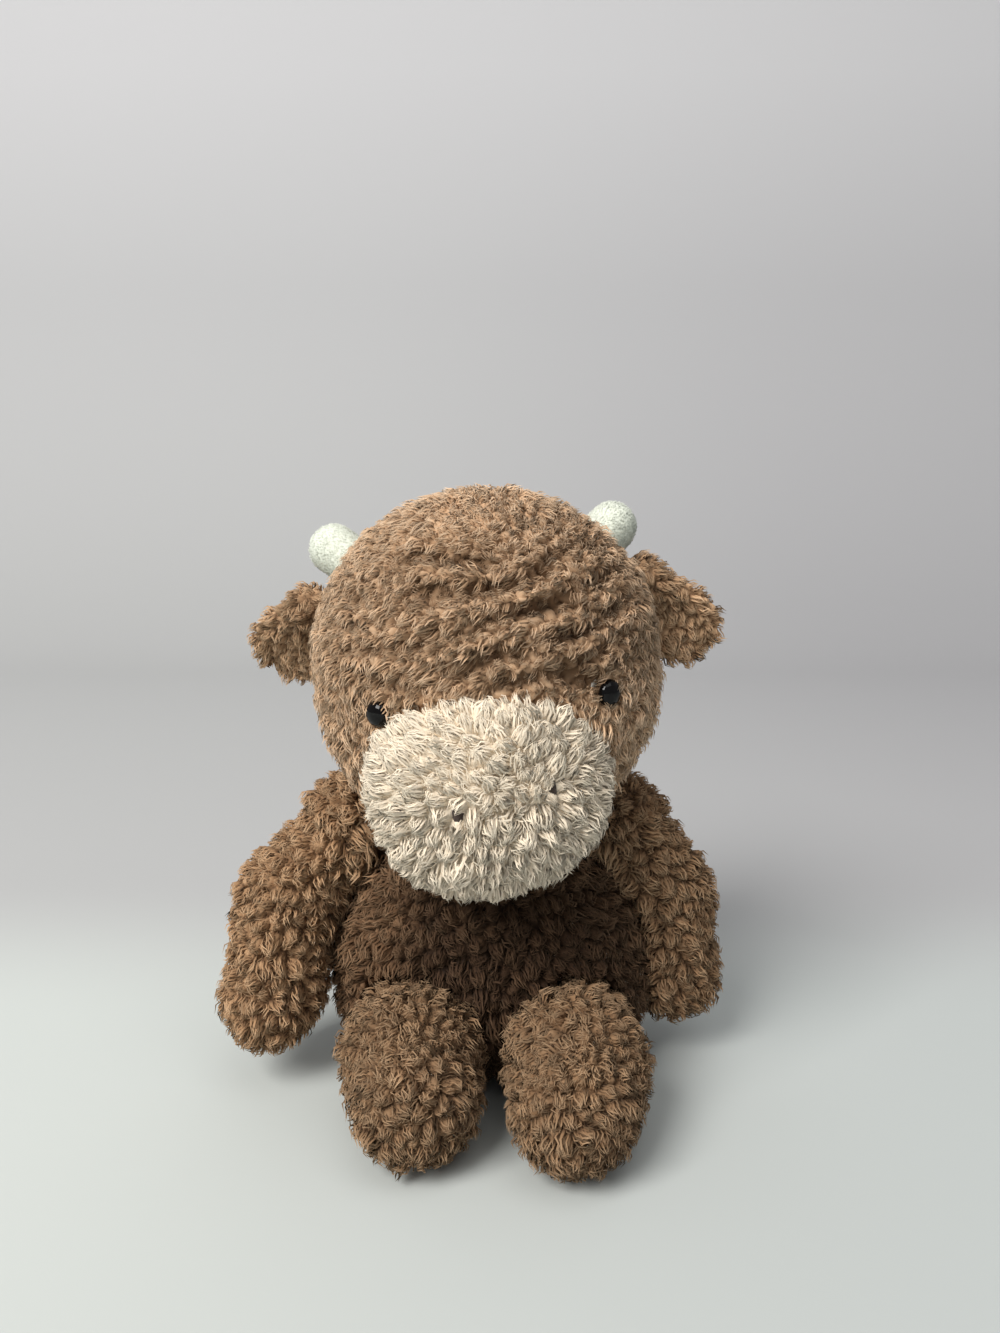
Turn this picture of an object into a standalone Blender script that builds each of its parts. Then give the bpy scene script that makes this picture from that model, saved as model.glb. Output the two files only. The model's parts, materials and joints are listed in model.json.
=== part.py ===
"""A sitting plush cow, built as its maker cuts, stuffs and sews it.

Metres, +Z up. The face looks along -Y and the toy's own left side is +X.
The origin is the middle of the patch that the seat is pressed flat on.
Every pile cover is a bag with a wall, open where it is sewn on, round its own stuffing.
Limbs have round roots in hollows of the body, so they swing as sewn-on limbs do.
"""

from math import copysign, cos, pi, radians, sin, sqrt

import bmesh
import bpy
from mathutils import Matrix, Vector

# Fabric, seams and clearances
PILE = 0.004
BACKING = 0.001
COVER_WALL = PILE + BACKING
SHORT_PILE_WALL = 0.0018
SEAM_GAP = 0.0003
SWING_GAP = 0.0005
PRESSED_DEPTH = 0.0005
OVERRUN = 0.02
SHORTEST_EDGE = 0.00002

# Body: a pear with a round neck, widest low down
BODY_WIDTH = 0.112
BODY_DEPTH = 0.074
BODY_WAIST_HEIGHT = 0.030
BODY_TOP_HEIGHT = 0.094
SEAT_FULLNESS = 2.5
CHEST_FULLNESS = 2.1
ROUND_FULLNESS = 2.0
NECK_RADIUS = 0.026
NECK_DROP = 0.018
NECK_BACK = 0.002
NECK_HOLE_RADIUS = 0.009

# Bean pouch in the seat, behind the legs
POUCH_WIDTH = 0.050
POUCH_DEPTH = 0.019
POUCH_HEIGHT = 0.014
POUCH_BACK = 0.0072
POUCH_FULLNESS = 2.4

# Head
HEAD_WIDTH = 0.112
HEAD_DEPTH = 0.100
HEAD_CROWN = 0.054
HEAD_JAW = 0.053
HEAD_SIDE = -0.002
HEAD_FORWARD = 0.010
HEAD_RISE = 0.069
CROWN_FULLNESS = 2.0
JAW_FULLNESS = 2.6
HEAD_TURN = radians(3.7)
HEAD_ROLL = radians(-4.5)

# Muzzle, sewn on the front of the head
MUZZLE_WIDTH = 0.073
MUZZLE_DEPTH = 0.052
MUZZLE_HEIGHT = 0.066
MUZZLE_SIDE = -0.003
MUZZLE_FORWARD = 0.034
MUZZLE_DROP = 0.032
MUZZLE_TURN = radians(8)
MUZZLE_ROLL = radians(-4)
MUZZLE_FULLNESS = 2.4

# Nostrils: stitched ovals in the muzzle's pile
NOSTRIL_WIDTH = 0.0032
NOSTRIL_HEIGHT = 0.0072
NOSTRIL_CROWN = 0.0012
NOSTRIL_DEPTH = 0.003
NOSTRIL_SPREAD = radians(31)
NOSTRIL_RISE = radians(-1)

# Safety eyes and their lock washers
EYE_RADIUS = 0.0041
EYE_DOME = 0.0034
EYE_RIM = 0.0006
EYE_SINK = 0.0026
EYE_SPREAD = radians(42)
EYE_DROP = radians(9)
SHANK_RADIUS = 0.0013
SHANK_LENGTH = 0.0085
SHANK_RIDGE = 0.0003
SHANK_PITCH = 0.0011
SHANK_RIDGES = 4
WASHER_RADIUS = 0.0052
WASHER_THICKNESS = 0.0008
WASHER_PRESS = 0.0008
WASHER_DISH = 0.0007
WASHER_TEETH = 6
WASHER_SLOT_DEPTH = 0.0014
TOOTH_STEPS = 5
SLOT_STEPS = 2

# Ears: two panels of pile, sewn edge to edge
EAR_ROOT_RADIUS = 0.0092
EAR_LENGTH = 0.036
EAR_WIDTH = 0.0315
EAR_NECK = 0.003
EAR_THICKNESS = 0.0125
EAR_CUP = 0.0045
EAR_WIDEST_SHARE = 0.5
EAR_SPREAD = radians(108)
EAR_RISE = radians(16)
EAR_DROOP = {"left": radians(49), "right": radians(43)}
EAR_SWEEP = {"left": radians(11), "right": radians(54)}
EAR_PROUD = 0.0081
EAR_ROOT_ROWS = 3
EAR_LEAF_ROWS = 7
EAR_STEPS = 6

# Horns: short white pile over a firm plug
HORN_ROOT_RADIUS = 0.0080
HORN_TIP_RADIUS = 0.0090
HORN_LENGTH = 0.017
HORN_PROUD = 0.0085
HORN_SPREAD = radians(112)
HORN_RISE = radians(36)

# Arms
ARM_ROOT_RADIUS = 0.0174
ARM_PAW_RADIUS = 0.0178
ARM_SWELL = 0.001
ARM_BOW = {"left": 0.0055, "right": 0.0085}
ARM_HOLE_RADIUS = 0.0045
SHOULDER_SPREAD = {"left": 0.0435, "right": 0.0490}
SHOULDER_DROP = 0.0082
PAW_SPREAD = {"left": 0.0638, "right": 0.0745}
PAW_FORWARD = {"left": -0.002, "right": 0.016}
PAW_HEIGHT = {"left": 0.0315, "right": 0.030}
ROOT_STEP = 0.001

# Legs
LEG_ROOT_RADIUS = 0.020
LEG_FOOT_RADIUS = 0.0195
LEG_SWELL = 0.0034
LEG_HOLE_RADIUS = 0.006
HIP_SPREAD = 0.027
HIP_FORWARD = 0.029
HIP_HEIGHT = 0.0215
FOOT_SPREAD = {"left": 0.0245, "right": 0.0225}
FOOT_FORWARD = {"left": 0.0625, "right": 0.0585}
LEG_LOWEST = radians(-60)
LEG_HIGHEST = radians(12)
LEG_SWEEP_STEPS = 4

# Tail
TAIL_ROOT_RADIUS = 0.0045
TAIL_END_RADIUS = 0.0034
TAIL_ROOT_HEIGHT = 0.034
TAIL_ROOT_PROUD = 0.0015
TAIL_REACH = 0.004
TAIL_DROP = 0.017
TUFT_RADIUS = 0.0058
TUFT_LENGTH = 0.017

# Fineness of the meshes
COVER_SIDES = 22
COVER_ROWS = 12
LINING_SIDES = 14
LINING_ROWS = 8
LIMB_SIDES = 16
LIMB_ROWS = 9
FILLING_SIDES = 10
FILLING_ROWS = 6
SMALL_SIDES = 12
SMALL_ROWS = 5
SMOOTH_ANGLE = radians(40)

SIDES = {"left": 1, "right": -1}
NO_BOW = Vector((0, 0, 0))

# Colours as they show on the object, in 8-bit display values
COLOURS = {
    "head_pile": (150, 119, 92),
    "body_pile": (112, 83, 60),
    "limb_pile": (122, 94, 70),
    "ear_pile": (138, 110, 85),
    "muzzle_pile": (222, 208, 184),
    "horn_pile": (236, 234, 217),
    "eye_plastic": (14, 12, 12),
    "washer_plastic": (226, 226, 220),
    "nostril_thread": (58, 46, 40),
    "stuffing": (240, 240, 238),
    "pouch_cloth": (214, 206, 190),
}
PLASTICS = {"eye_plastic": 0.08, "washer_plastic": 0.4}
FABRIC_ROUGHNESS = 0.95


def smooth_step(share):
    """Eases from 0 to 1, level at both ends."""
    held = min(max(share, 0.0), 1.0)
    return held * held * (3 - 2 * held)


def mixed(first, last, share):
    return first + (last - first) * share


def object_of(name, builder):
    """A scene object from a finished bmesh, its faces turned outwards."""
    bmesh.ops.recalc_face_normals(builder, faces=builder.faces)
    mesh = bpy.data.meshes.new(name)
    builder.to_mesh(mesh)
    builder.free()
    made = bpy.data.objects.new(name, mesh)
    bpy.context.collection.objects.link(made)
    return made


def lofted(name, first_pole, rings, last_pole):
    """A closed solid through rings of as many points each, with a point at both ends."""
    builder = bmesh.new()
    rows = [[builder.verts.new(point) for point in ring] for ring in rings]
    start = builder.verts.new(first_pole)
    finish = builder.verts.new(last_pole)
    count = len(rows[0])
    for index in range(count):
        after = (index + 1) % count
        builder.faces.new((start, rows[0][after], rows[0][index]))
        builder.faces.new((finish, rows[-1][index], rows[-1][after]))
        for low, high in zip(rows, rows[1:]):
            builder.faces.new((low[index], low[after], high[after], high[index]))
    return object_of(name, builder)


def turned(name, profile, sides, frame):
    """A solid of revolution about the frame's Z from (radius, height) points, axis to axis."""
    rings = []
    for radius, height in profile[1:-1]:
        ring = []
        for index in range(sides):
            angle = 2 * pi * index / sides
            ring.append(frame @ Vector((radius * cos(angle), radius * sin(angle), height)))
        rings.append(ring)
    first = frame @ Vector((0, 0, profile[0][1]))
    last = frame @ Vector((0, 0, profile[-1][1]))
    return lofted(name, first, rings, last)


def rod(name, radius, bottom, top, sides, frame):
    """A plain round rod along the frame's Z."""
    return turned(name, [(0, bottom), (radius, bottom), (radius, top), (0, top)], sides, frame)


def cleaned(piece):
    """Closes up the hair-thin faces that cutting leaves behind."""
    builder = bmesh.new()
    builder.from_mesh(piece.data)
    bmesh.ops.triangulate(builder, faces=builder.faces)
    bmesh.ops.remove_doubles(builder, verts=builder.verts, dist=SHORTEST_EDGE)
    bmesh.ops.dissolve_degenerate(builder, edges=builder.edges, dist=SHORTEST_EDGE)
    bmesh.ops.triangulate(builder, faces=builder.faces)
    builder.to_mesh(piece.data)
    builder.free()


def combined(target, other, operation="DIFFERENCE"):
    """Cuts other out of target, or joins it on, and uses other up."""
    modifier = target.modifiers.new("seam", "BOOLEAN")
    modifier.operation = operation
    modifier.object = other
    graph = bpy.context.evaluated_depsgraph_get()
    shaped = bpy.data.meshes.new_from_object(target.evaluated_get(graph))
    target.modifiers.clear()
    plain = target.data
    target.data = shaped
    bpy.data.meshes.remove(plain)
    bpy.data.objects.remove(other)
    cleaned(target)
    return target


def moved_in(form, inset):
    """Moves a smooth form's skin inwards by inset, or outwards where inset is negative."""
    builder = bmesh.new()
    builder.from_mesh(form.data)
    builder.normal_update()
    for vertex in builder.verts:
        vertex.co -= vertex.normal * inset
    builder.to_mesh(form.data)
    builder.free()
    return form


class Egg:
    """A round form: half sizes along its own axes, with its own fullness above and below."""

    def __init__(self, frame, half_size, fullness_up, half_down=None, fullness_down=None):
        self.frame = frame
        self.half_x, self.half_y, self.half_up = half_size
        self.half_down = half_down or self.half_up
        self.fullness_up = fullness_up
        self.fullness_down = fullness_down or fullness_up

    def at(self, direction):
        """The skin's place and outward normal in a direction from the middle, in world space."""
        x_share = direction.x / self.half_x
        y_share = direction.y / self.half_y
        level = sqrt(x_share * x_share + y_share * y_share)
        half_z = self.half_up if direction.z >= 0 else self.half_down
        power = self.fullness_up if direction.z >= 0 else self.fullness_down
        z_share = abs(direction.z) / half_z
        place = direction * (level**power + z_share**power) ** (-1 / power)
        slope = level ** (power - 2) if level else 0.0
        normal = Vector((slope * x_share / self.half_x, slope * y_share / self.half_y, 0))
        normal.z = copysign(z_share ** (power - 1) / half_z, direction.z)
        turned_normal = (self.frame.to_3x3() @ normal).normalized()
        return self.frame @ place, turned_normal

    def solid(self, name, inset, sides, rows):
        rings = []
        for row in range(1, rows):
            tilt = pi * row / rows - pi / 2
            ring = []
            for index in range(sides):
                angle = 2 * pi * index / sides
                half_z = self.half_up if tilt >= 0 else self.half_down
                direction = Vector((self.half_x * cos(tilt) * cos(angle), 0, half_z * sin(tilt)))
                direction.y = self.half_y * cos(tilt) * sin(angle)
                place, normal = self.at(direction)
                ring.append(place - normal * inset)
            rings.append(ring)
        bottom = self.frame @ Vector((0, 0, inset - self.half_down))
        top = self.frame @ Vector((0, 0, self.half_up - inset))
        return lofted(name, bottom, rings, top)


def ball(name, centre, radius, sides, rows):
    form = Egg(Matrix.Translation(centre), (radius, radius, radius), ROUND_FULLNESS)
    return form.solid(name, 0, sides, rows)


def socket(centre, radius, sides, rows):
    """A hollow for a round root: its flats, not only its corners, lie beyond the radius."""
    corner_radius = radius / cos(pi / sides) / cos(pi / (2 * rows))
    return ball("socket", centre, corner_radius, sides, rows)


def facing(place, normal, up=Vector((0, 0, 1))):
    """A frame at place whose Z is the normal and whose Y points up the surface."""
    third = normal.normalized()
    first = up.cross(third).normalized()
    second = third.cross(first)
    frame = Matrix((first, second, third)).transposed().to_4x4()
    frame.translation = place
    return frame


def limb(name, start, end, start_radius, end_radius, swell, bow, sides, rows):
    """A stuffed tube with round ends that swells, tapers and bows between them."""
    axis = end - start
    length = axis.length
    frame = facing(start, axis, Vector((0, 1, 0)))
    stations = []
    caps = rows // 2
    for row in range(1, caps):
        angle = pi / 2 * row / caps
        stations.append((-start_radius * cos(angle), start_radius * sin(angle)))
    body_rows = rows - caps
    for row in range(body_rows + 1):
        share = row / body_rows
        swelling = swell * sin(pi * share) ** 2
        radius = mixed(start_radius, end_radius, smooth_step(share)) + swelling
        stations.append((length * share, radius))
    for row in range(1, caps):
        angle = pi / 2 * row / caps
        stations.append((length + end_radius * sin(angle), end_radius * cos(angle)))
    rings = []
    for height, radius in stations:
        share = min(max(height / length, 0.0), 1.0)
        bowed = bow * sin(pi * share) ** 2
        ring = []
        for index in range(sides):
            angle = 2 * pi * index / sides
            offset = Vector((radius * cos(angle), radius * sin(angle), height))
            ring.append(frame @ offset + bowed)
        rings.append(ring)
    first = frame @ Vector((0, 0, -start_radius))
    last = frame @ Vector((0, 0, length + end_radius))
    return lofted(name, first, rings, last)


def slab_below(height):
    """Everything under a level, to press a form flat there."""
    reach = BODY_WIDTH + HEAD_WIDTH
    middle = Matrix.Translation((0, 0, height - OVERRUN / 2))
    builder = bmesh.new()
    stretched = middle @ Matrix.Diagonal((reach, reach, OVERRUN, 1))
    bmesh.ops.create_cube(builder, size=1, matrix=stretched)
    return object_of("slab", builder)


def head_frame():
    turn = Matrix.Rotation(HEAD_TURN, 4, "Z")
    roll = Matrix.Rotation(HEAD_ROLL, 4, "Y")
    offset = Vector((HEAD_SIDE, -HEAD_FORWARD, HEAD_RISE))
    return Matrix.Translation(neck_pivot() + offset) @ turn @ roll


def head_egg():
    half_size = (HEAD_WIDTH / 2, HEAD_DEPTH / 2, HEAD_CROWN)
    return Egg(head_frame(), half_size, CROWN_FULLNESS, HEAD_JAW, JAW_FULLNESS)


def muzzle_egg():
    offset = Vector((MUZZLE_SIDE, -MUZZLE_FORWARD, -MUZZLE_DROP))
    half_size = (MUZZLE_WIDTH / 2, MUZZLE_DEPTH / 2, MUZZLE_HEIGHT / 2)
    turn = Matrix.Rotation(MUZZLE_TURN, 4, "Z")
    roll = Matrix.Rotation(MUZZLE_ROLL, 4, "Y")
    frame = head_frame() @ Matrix.Translation(offset) @ turn @ roll
    return Egg(frame, half_size, MUZZLE_FULLNESS)


def body_egg():
    frame = Matrix.Translation((0, 0, BODY_WAIST_HEIGHT))
    half_size = (BODY_WIDTH / 2, BODY_DEPTH / 2, BODY_TOP_HEIGHT - BODY_WAIST_HEIGHT)
    below = BODY_WAIST_HEIGHT + PRESSED_DEPTH
    return Egg(frame, half_size, CHEST_FULLNESS, below, SEAT_FULLNESS)


def seen_from_middle(spread, rise):
    """A direction from a form's middle: spread turns it from the front, rise lifts it."""
    return Vector((sin(spread) * cos(rise), -cos(spread) * cos(rise), sin(rise)))


def neck_pivot():
    return Vector((0, NECK_BACK, BODY_TOP_HEIGHT - NECK_DROP))


def shoulder(side):
    height = BODY_TOP_HEIGHT - SHOULDER_DROP
    return Vector((SIDES[side] * SHOULDER_SPREAD[side], 0, height))


def hip(side):
    return Vector((SIDES[side] * HIP_SPREAD, -HIP_FORWARD, HIP_HEIGHT))


def tail_root():
    return Vector((0, BODY_DEPTH / 2 + TAIL_ROOT_PROUD, TAIL_ROOT_HEIGHT))


def ear_root(side):
    """The ear's hinge point, at the head's skin."""
    place, normal = head_egg().at(seen_from_middle(SIDES[side] * EAR_SPREAD, EAR_RISE))
    return place + normal * EAR_PROUD


def leg_form(side, inset, sides, rows):
    foot_height = LEG_FOOT_RADIUS - PRESSED_DEPTH
    foot = Vector((SIDES[side] * FOOT_SPREAD[side], -FOOT_FORWARD[side], foot_height))
    middle_radius = (LEG_ROOT_RADIUS + LEG_FOOT_RADIUS) / 2 + LEG_SWELL
    lift = middle_radius - PRESSED_DEPTH - (HIP_HEIGHT + foot_height) / 2
    bow = Vector((0, 0, lift))
    radii = (LEG_ROOT_RADIUS, LEG_FOOT_RADIUS)
    form = limb("leg_form", hip(side), foot, *radii, LEG_SWELL, bow, sides, rows)
    return moved_in(form, inset)


def leg_sweep(side, inset, sides, rows):
    """The space that a leg passes through, which the body leaves free."""
    builder = bmesh.new()
    for step in range(LEG_SWEEP_STEPS + 1):
        angle = mixed(LEG_LOWEST, LEG_HIGHEST, step / LEG_SWEEP_STEPS)
        copy = leg_form(side, -SWING_GAP - inset, sides, rows)
        pivot = Matrix.Translation(hip(side))
        copy.data.transform(pivot @ Matrix.Rotation(-angle, 4, "X") @ pivot.inverted())
        builder.from_mesh(copy.data)
        bpy.data.objects.remove(copy)
    root = socket(hip(side), LEG_ROOT_RADIUS + SWING_GAP + inset, sides, rows)
    builder.from_mesh(root.data)
    bpy.data.objects.remove(root)
    bmesh.ops.delete(builder, geom=builder.faces, context="FACES_ONLY")
    bmesh.ops.remove_doubles(builder, verts=builder.verts, dist=SHORTEST_EDGE)
    bmesh.ops.convex_hull(builder, input=builder.verts)
    inside = [vertex for vertex in builder.verts if not vertex.link_faces]
    bmesh.ops.delete(builder, geom=inside, context="VERTS")
    loose = [edge for edge in builder.edges if not edge.link_faces]
    bmesh.ops.delete(builder, geom=loose, context="EDGES")
    bmesh.ops.holes_fill(builder, edges=builder.edges)
    bmesh.ops.triangulate(builder, faces=builder.faces)
    return object_of("leg_sweep", builder)


def torso(name, inset, sides, rows):
    """The body's outer form moved in by inset, with its neck and the hollows for its limbs."""
    form = body_egg().solid(name, inset, sides, rows)
    neck = ball("neck", neck_pivot(), NECK_RADIUS - inset, sides, rows)
    combined(form, neck, "UNION")
    reach = SWING_GAP + inset
    for side in SIDES:
        combined(form, leg_sweep(side, inset, sides * 3 // 4, rows * 3 // 4))
        combined(form, socket(shoulder(side), ARM_ROOT_RADIUS + reach, sides, rows))
    combined(form, socket(tail_root(), TAIL_ROOT_RADIUS + reach, FILLING_SIDES, FILLING_ROWS))
    return combined(form, slab_below(inset))


def pouch(name, grow):
    """The pouch, or with some growth the pocket for it, open at the stuffing's flat bottom."""
    floor = COVER_WALL + SEAM_GAP
    middle_height = floor - PRESSED_DEPTH + POUCH_HEIGHT / 2
    frame = Matrix.Translation((0, POUCH_BACK, middle_height))
    half_size = (POUCH_WIDTH / 2, POUCH_DEPTH / 2, POUCH_HEIGHT / 2)
    form = Egg(frame, half_size, POUCH_FULLNESS).solid(name, -grow, FILLING_SIDES, FILLING_ROWS)
    inside = body_egg().solid("inside", floor - grow, LINING_SIDES, LINING_ROWS)
    combined(form, inside, "INTERSECT")
    return combined(form, slab_below(floor - grow))


def body_pieces():
    cover = torso("body_cover", 0, COVER_SIDES, COVER_ROWS)
    combined(cover, torso("room", COVER_WALL, LINING_SIDES, LINING_ROWS))
    neck_frame = Matrix.Translation(neck_pivot())
    reach = NECK_RADIUS + OVERRUN
    combined(cover, rod("neck_hole", NECK_HOLE_RADIUS, 0, reach, SMALL_SIDES, neck_frame))
    stuffing = torso("body_stuffing", COVER_WALL + SEAM_GAP, LINING_SIDES, LINING_ROWS)
    combined(stuffing, pouch("pocket", SEAM_GAP))
    beans = pouch("bean_pouch", 0)
    return cover, stuffing, beans


def arm(name, side, inset, sides, rows):
    """An arm moved in by inset: cut by the body it lies against, with a round root."""
    paw = Vector((SIDES[side] * PAW_SPREAD[side], -PAW_FORWARD[side], PAW_HEIGHT[side]))
    radii = (ARM_ROOT_RADIUS - ROOT_STEP, ARM_PAW_RADIUS)
    along = paw - shoulder(side)
    outwards = Vector((0, 1, 0)).cross(along).normalized() * -SIDES[side]
    bow = outwards * ARM_BOW[side]
    form = limb(name, shoulder(side), paw, *radii, ARM_SWELL, bow, sides, rows)
    moved_in(form, inset)
    combined(form, body_egg().solid("flank", -SEAM_GAP - inset, COVER_SIDES, COVER_ROWS))
    root = ball("root", shoulder(side), ARM_ROOT_RADIUS - inset, sides, rows)
    return combined(form, root, "UNION")


def arm_pieces(side):
    cover = arm(f"arm_{side}_cover", side, 0, LIMB_SIDES, LIMB_ROWS)
    combined(cover, arm("room", side, COVER_WALL, FILLING_SIDES, FILLING_ROWS))
    inwards = facing(shoulder(side), Vector((-SIDES[side], 0, 0)))
    reach = ARM_ROOT_RADIUS + OVERRUN
    combined(cover, rod("hole", ARM_HOLE_RADIUS, 0, reach, FILLING_SIDES, inwards))
    fill = COVER_WALL + SEAM_GAP
    stuffing = arm(f"arm_{side}_stuffing", side, fill, FILLING_SIDES, FILLING_ROWS)
    return cover, stuffing


def leg_pieces(side):
    cover = leg_form(side, 0, LIMB_SIDES, LIMB_ROWS)
    cover.name = f"leg_{side}_cover"
    combined(cover, slab_below(0))
    room = leg_form(side, COVER_WALL, FILLING_SIDES, FILLING_ROWS)
    combined(cover, combined(room, slab_below(COVER_WALL)))
    backwards = facing(hip(side), Vector((0, 1, 0)))
    reach = LEG_ROOT_RADIUS + OVERRUN
    combined(cover, rod("hole", LEG_HOLE_RADIUS, 0, reach, FILLING_SIDES, backwards))
    fill = COVER_WALL + SEAM_GAP
    stuffing = leg_form(side, fill, FILLING_SIDES, FILLING_ROWS)
    stuffing.name = f"leg_{side}_stuffing"
    combined(stuffing, slab_below(fill))
    return cover, stuffing


def head(name, inset, sides, rows):
    """The head's outer form moved in by inset, hollowed for the neck and the ears' roots."""
    form = head_egg().solid(name, inset, sides, rows)
    reach = SWING_GAP + inset
    combined(form, socket(neck_pivot(), NECK_RADIUS + reach, sides, rows))
    for side in SIDES:
        ear_hollow = socket(ear_root(side), EAR_ROOT_RADIUS + reach, FILLING_SIDES, FILLING_ROWS)
        combined(form, ear_hollow)
    return form


def eye_frame(side):
    """Z points out of the head, and zero is the back of the eye's dome."""
    direction = seen_from_middle(SIDES[side] * EYE_SPREAD, -EYE_DROP)
    place, normal = head_egg().at(direction)
    return facing(place - normal * EYE_SINK, normal)


def washer_seat():
    """How far behind the back of the dome the washer lies, in its pressed pocket."""
    return COVER_WALL - WASHER_PRESS - EYE_SINK


def shank_hole_radius():
    return SHANK_RADIUS + SHANK_RIDGE + SEAM_GAP


def head_pieces():
    cover = head("head_cover", 0, COVER_SIDES, COVER_ROWS)
    combined(cover, head("room", COVER_WALL, LINING_SIDES, LINING_ROWS))
    upwards = Matrix.Translation(neck_pivot())
    combined(cover, rod("neck_hole", NECK_HOLE_RADIUS, 0, HEAD_RISE, SMALL_SIDES, upwards))
    stuffing = head("head_stuffing", COVER_WALL + SEAM_GAP, LINING_SIDES, LINING_ROWS)
    pocket_radius = WASHER_RADIUS + SEAM_GAP
    pocket_top = -washer_seat()
    pocket_bottom = pocket_top - 3 * SEAM_GAP - WASHER_THICKNESS - WASHER_DISH
    hole_bottom = -SHANK_LENGTH - SEAM_GAP
    for side in SIDES:
        frame = eye_frame(side)
        recess = rod("recess", EYE_RADIUS + SEAM_GAP, -SEAM_GAP, OVERRUN, SMALL_SIDES, frame)
        combined(cover, recess)
        for piece in (cover, stuffing):
            pocket = rod("pocket", pocket_radius, pocket_bottom, pocket_top, SMALL_SIDES, frame)
            combined(piece, pocket)
            hole = rod("hole", shank_hole_radius(), hole_bottom, 0, FILLING_SIDES, frame)
            combined(piece, hole)
    return cover, stuffing


def eye(side):
    """A domed safety eye with its ridged shank, in one turning."""
    profile = [(0, EYE_DOME)]
    for row in range(1, SMALL_ROWS + 1):
        angle = pi / 2 * row / SMALL_ROWS
        profile.append((EYE_RADIUS * sin(angle), mixed(EYE_RIM, EYE_DOME, cos(angle))))
    profile.append((EYE_RADIUS, EYE_RIM / 2))
    profile.append((EYE_RADIUS - EYE_RIM / 2, 0))
    profile.append((SHANK_RADIUS, 0))
    plain_length = SHANK_LENGTH - SHANK_PITCH * (SHANK_RIDGES + 1)
    for ridge in range(SHANK_RIDGES):
        step = -plain_length - SHANK_PITCH * ridge
        profile.append((SHANK_RADIUS, step))
        profile.append((SHANK_RADIUS + SHANK_RIDGE, step - SHANK_RIDGE))
        profile.append((SHANK_RADIUS, step - SHANK_PITCH + SHANK_RIDGE))
    profile.append((SHANK_RADIUS - SHANK_RIDGE, -SHANK_LENGTH))
    profile.append((0, -SHANK_LENGTH))
    return turned(f"eye_{side}", profile, SMALL_SIDES, eye_frame(side))


def eye_washer(side):
    """A dished disc whose inner teeth point away from the head's skin and grip the shank."""
    frame = eye_frame(side)
    top = -washer_seat() - SEAM_GAP
    tooth_tip = SHANK_RADIUS + SHANK_RIDGE + SEAM_GAP
    count = WASHER_TEETH * TOOTH_STEPS
    rings = []
    for at_bore, level in ((True, 0), (False, 0), (False, 1), (True, 1)):
        ring = []
        for index in range(count):
            in_slot = index % TOOTH_STEPS < SLOT_STEPS
            slot_depth = WASHER_SLOT_DEPTH if in_slot else 0
            radius = tooth_tip + slot_depth if at_bore else WASHER_RADIUS
            bore_share = (WASHER_RADIUS - radius) / (WASHER_RADIUS - tooth_tip)
            height = top - WASHER_DISH * bore_share - WASHER_THICKNESS * level
            angle = 2 * pi * index / count
            ring.append(frame @ Vector((radius * cos(angle), radius * sin(angle), height)))
        rings.append(ring)
    builder = bmesh.new()
    rows = [[builder.verts.new(point) for point in ring] for ring in rings]
    for low, high in zip(rows, rows[1:] + rows[:1]):
        for index in range(count):
            after = (index + 1) % count
            builder.faces.new((low[index], low[after], high[after], high[index]))
    return object_of(f"eye_washer_{side}", builder)


def nostril_frame(side):
    """Z points out of the muzzle, and zero is on the backing that the stitches lie on."""
    direction = seen_from_middle(SIDES[side] * NOSTRIL_SPREAD, NOSTRIL_RISE)
    place, normal = muzzle_egg().at(direction)
    return facing(place - normal * NOSTRIL_DEPTH, normal)


def nostril(side):
    half_size = (NOSTRIL_WIDTH / 2, NOSTRIL_HEIGHT / 2, NOSTRIL_CROWN)
    form = Egg(nostril_frame(side), half_size, ROUND_FULLNESS)
    pad = form.solid(f"nostril_{side}", 0, FILLING_SIDES, FILLING_ROWS)
    flat = rod("flat", NOSTRIL_HEIGHT, -OVERRUN, 0, FILLING_SIDES, nostril_frame(side))
    return combined(pad, flat)


def muzzle_pieces():
    form = muzzle_egg()
    cover = form.solid("muzzle_cover", 0, COVER_SIDES, COVER_ROWS)
    combined(cover, form.solid("room", COVER_WALL, LINING_SIDES, LINING_ROWS))
    fill = COVER_WALL + SEAM_GAP
    stuffing = form.solid("muzzle_stuffing", fill, LINING_SIDES, LINING_ROWS)
    for piece in (cover, stuffing):
        combined(piece, head_egg().solid("face", -SEAM_GAP, COVER_SIDES, COVER_ROWS))
    for side in SIDES:
        stretch = Matrix.Diagonal((NOSTRIL_WIDTH / NOSTRIL_HEIGHT, 1, 1, 1))
        frame = nostril_frame(side) @ stretch
        radius = NOSTRIL_HEIGHT / 2 + 2 * SEAM_GAP
        combined(cover, rod("recess", radius, -SEAM_GAP, OVERRUN, FILLING_SIDES, frame))
    return cover, stuffing


def ear_axes(side):
    """The ear's own axes: out along it, across it, and out of its hollow front."""
    sign = SIDES[side]
    droop = EAR_DROOP[side]
    sweep = EAR_SWEEP[side]
    out = Vector((sign * cos(droop) * cos(sweep), cos(droop) * sin(sweep), -sin(droop)))
    front = Vector((0, -1, 0))
    front = (front - out * front.dot(out)).normalized()
    return out, front.cross(out), front


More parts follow.
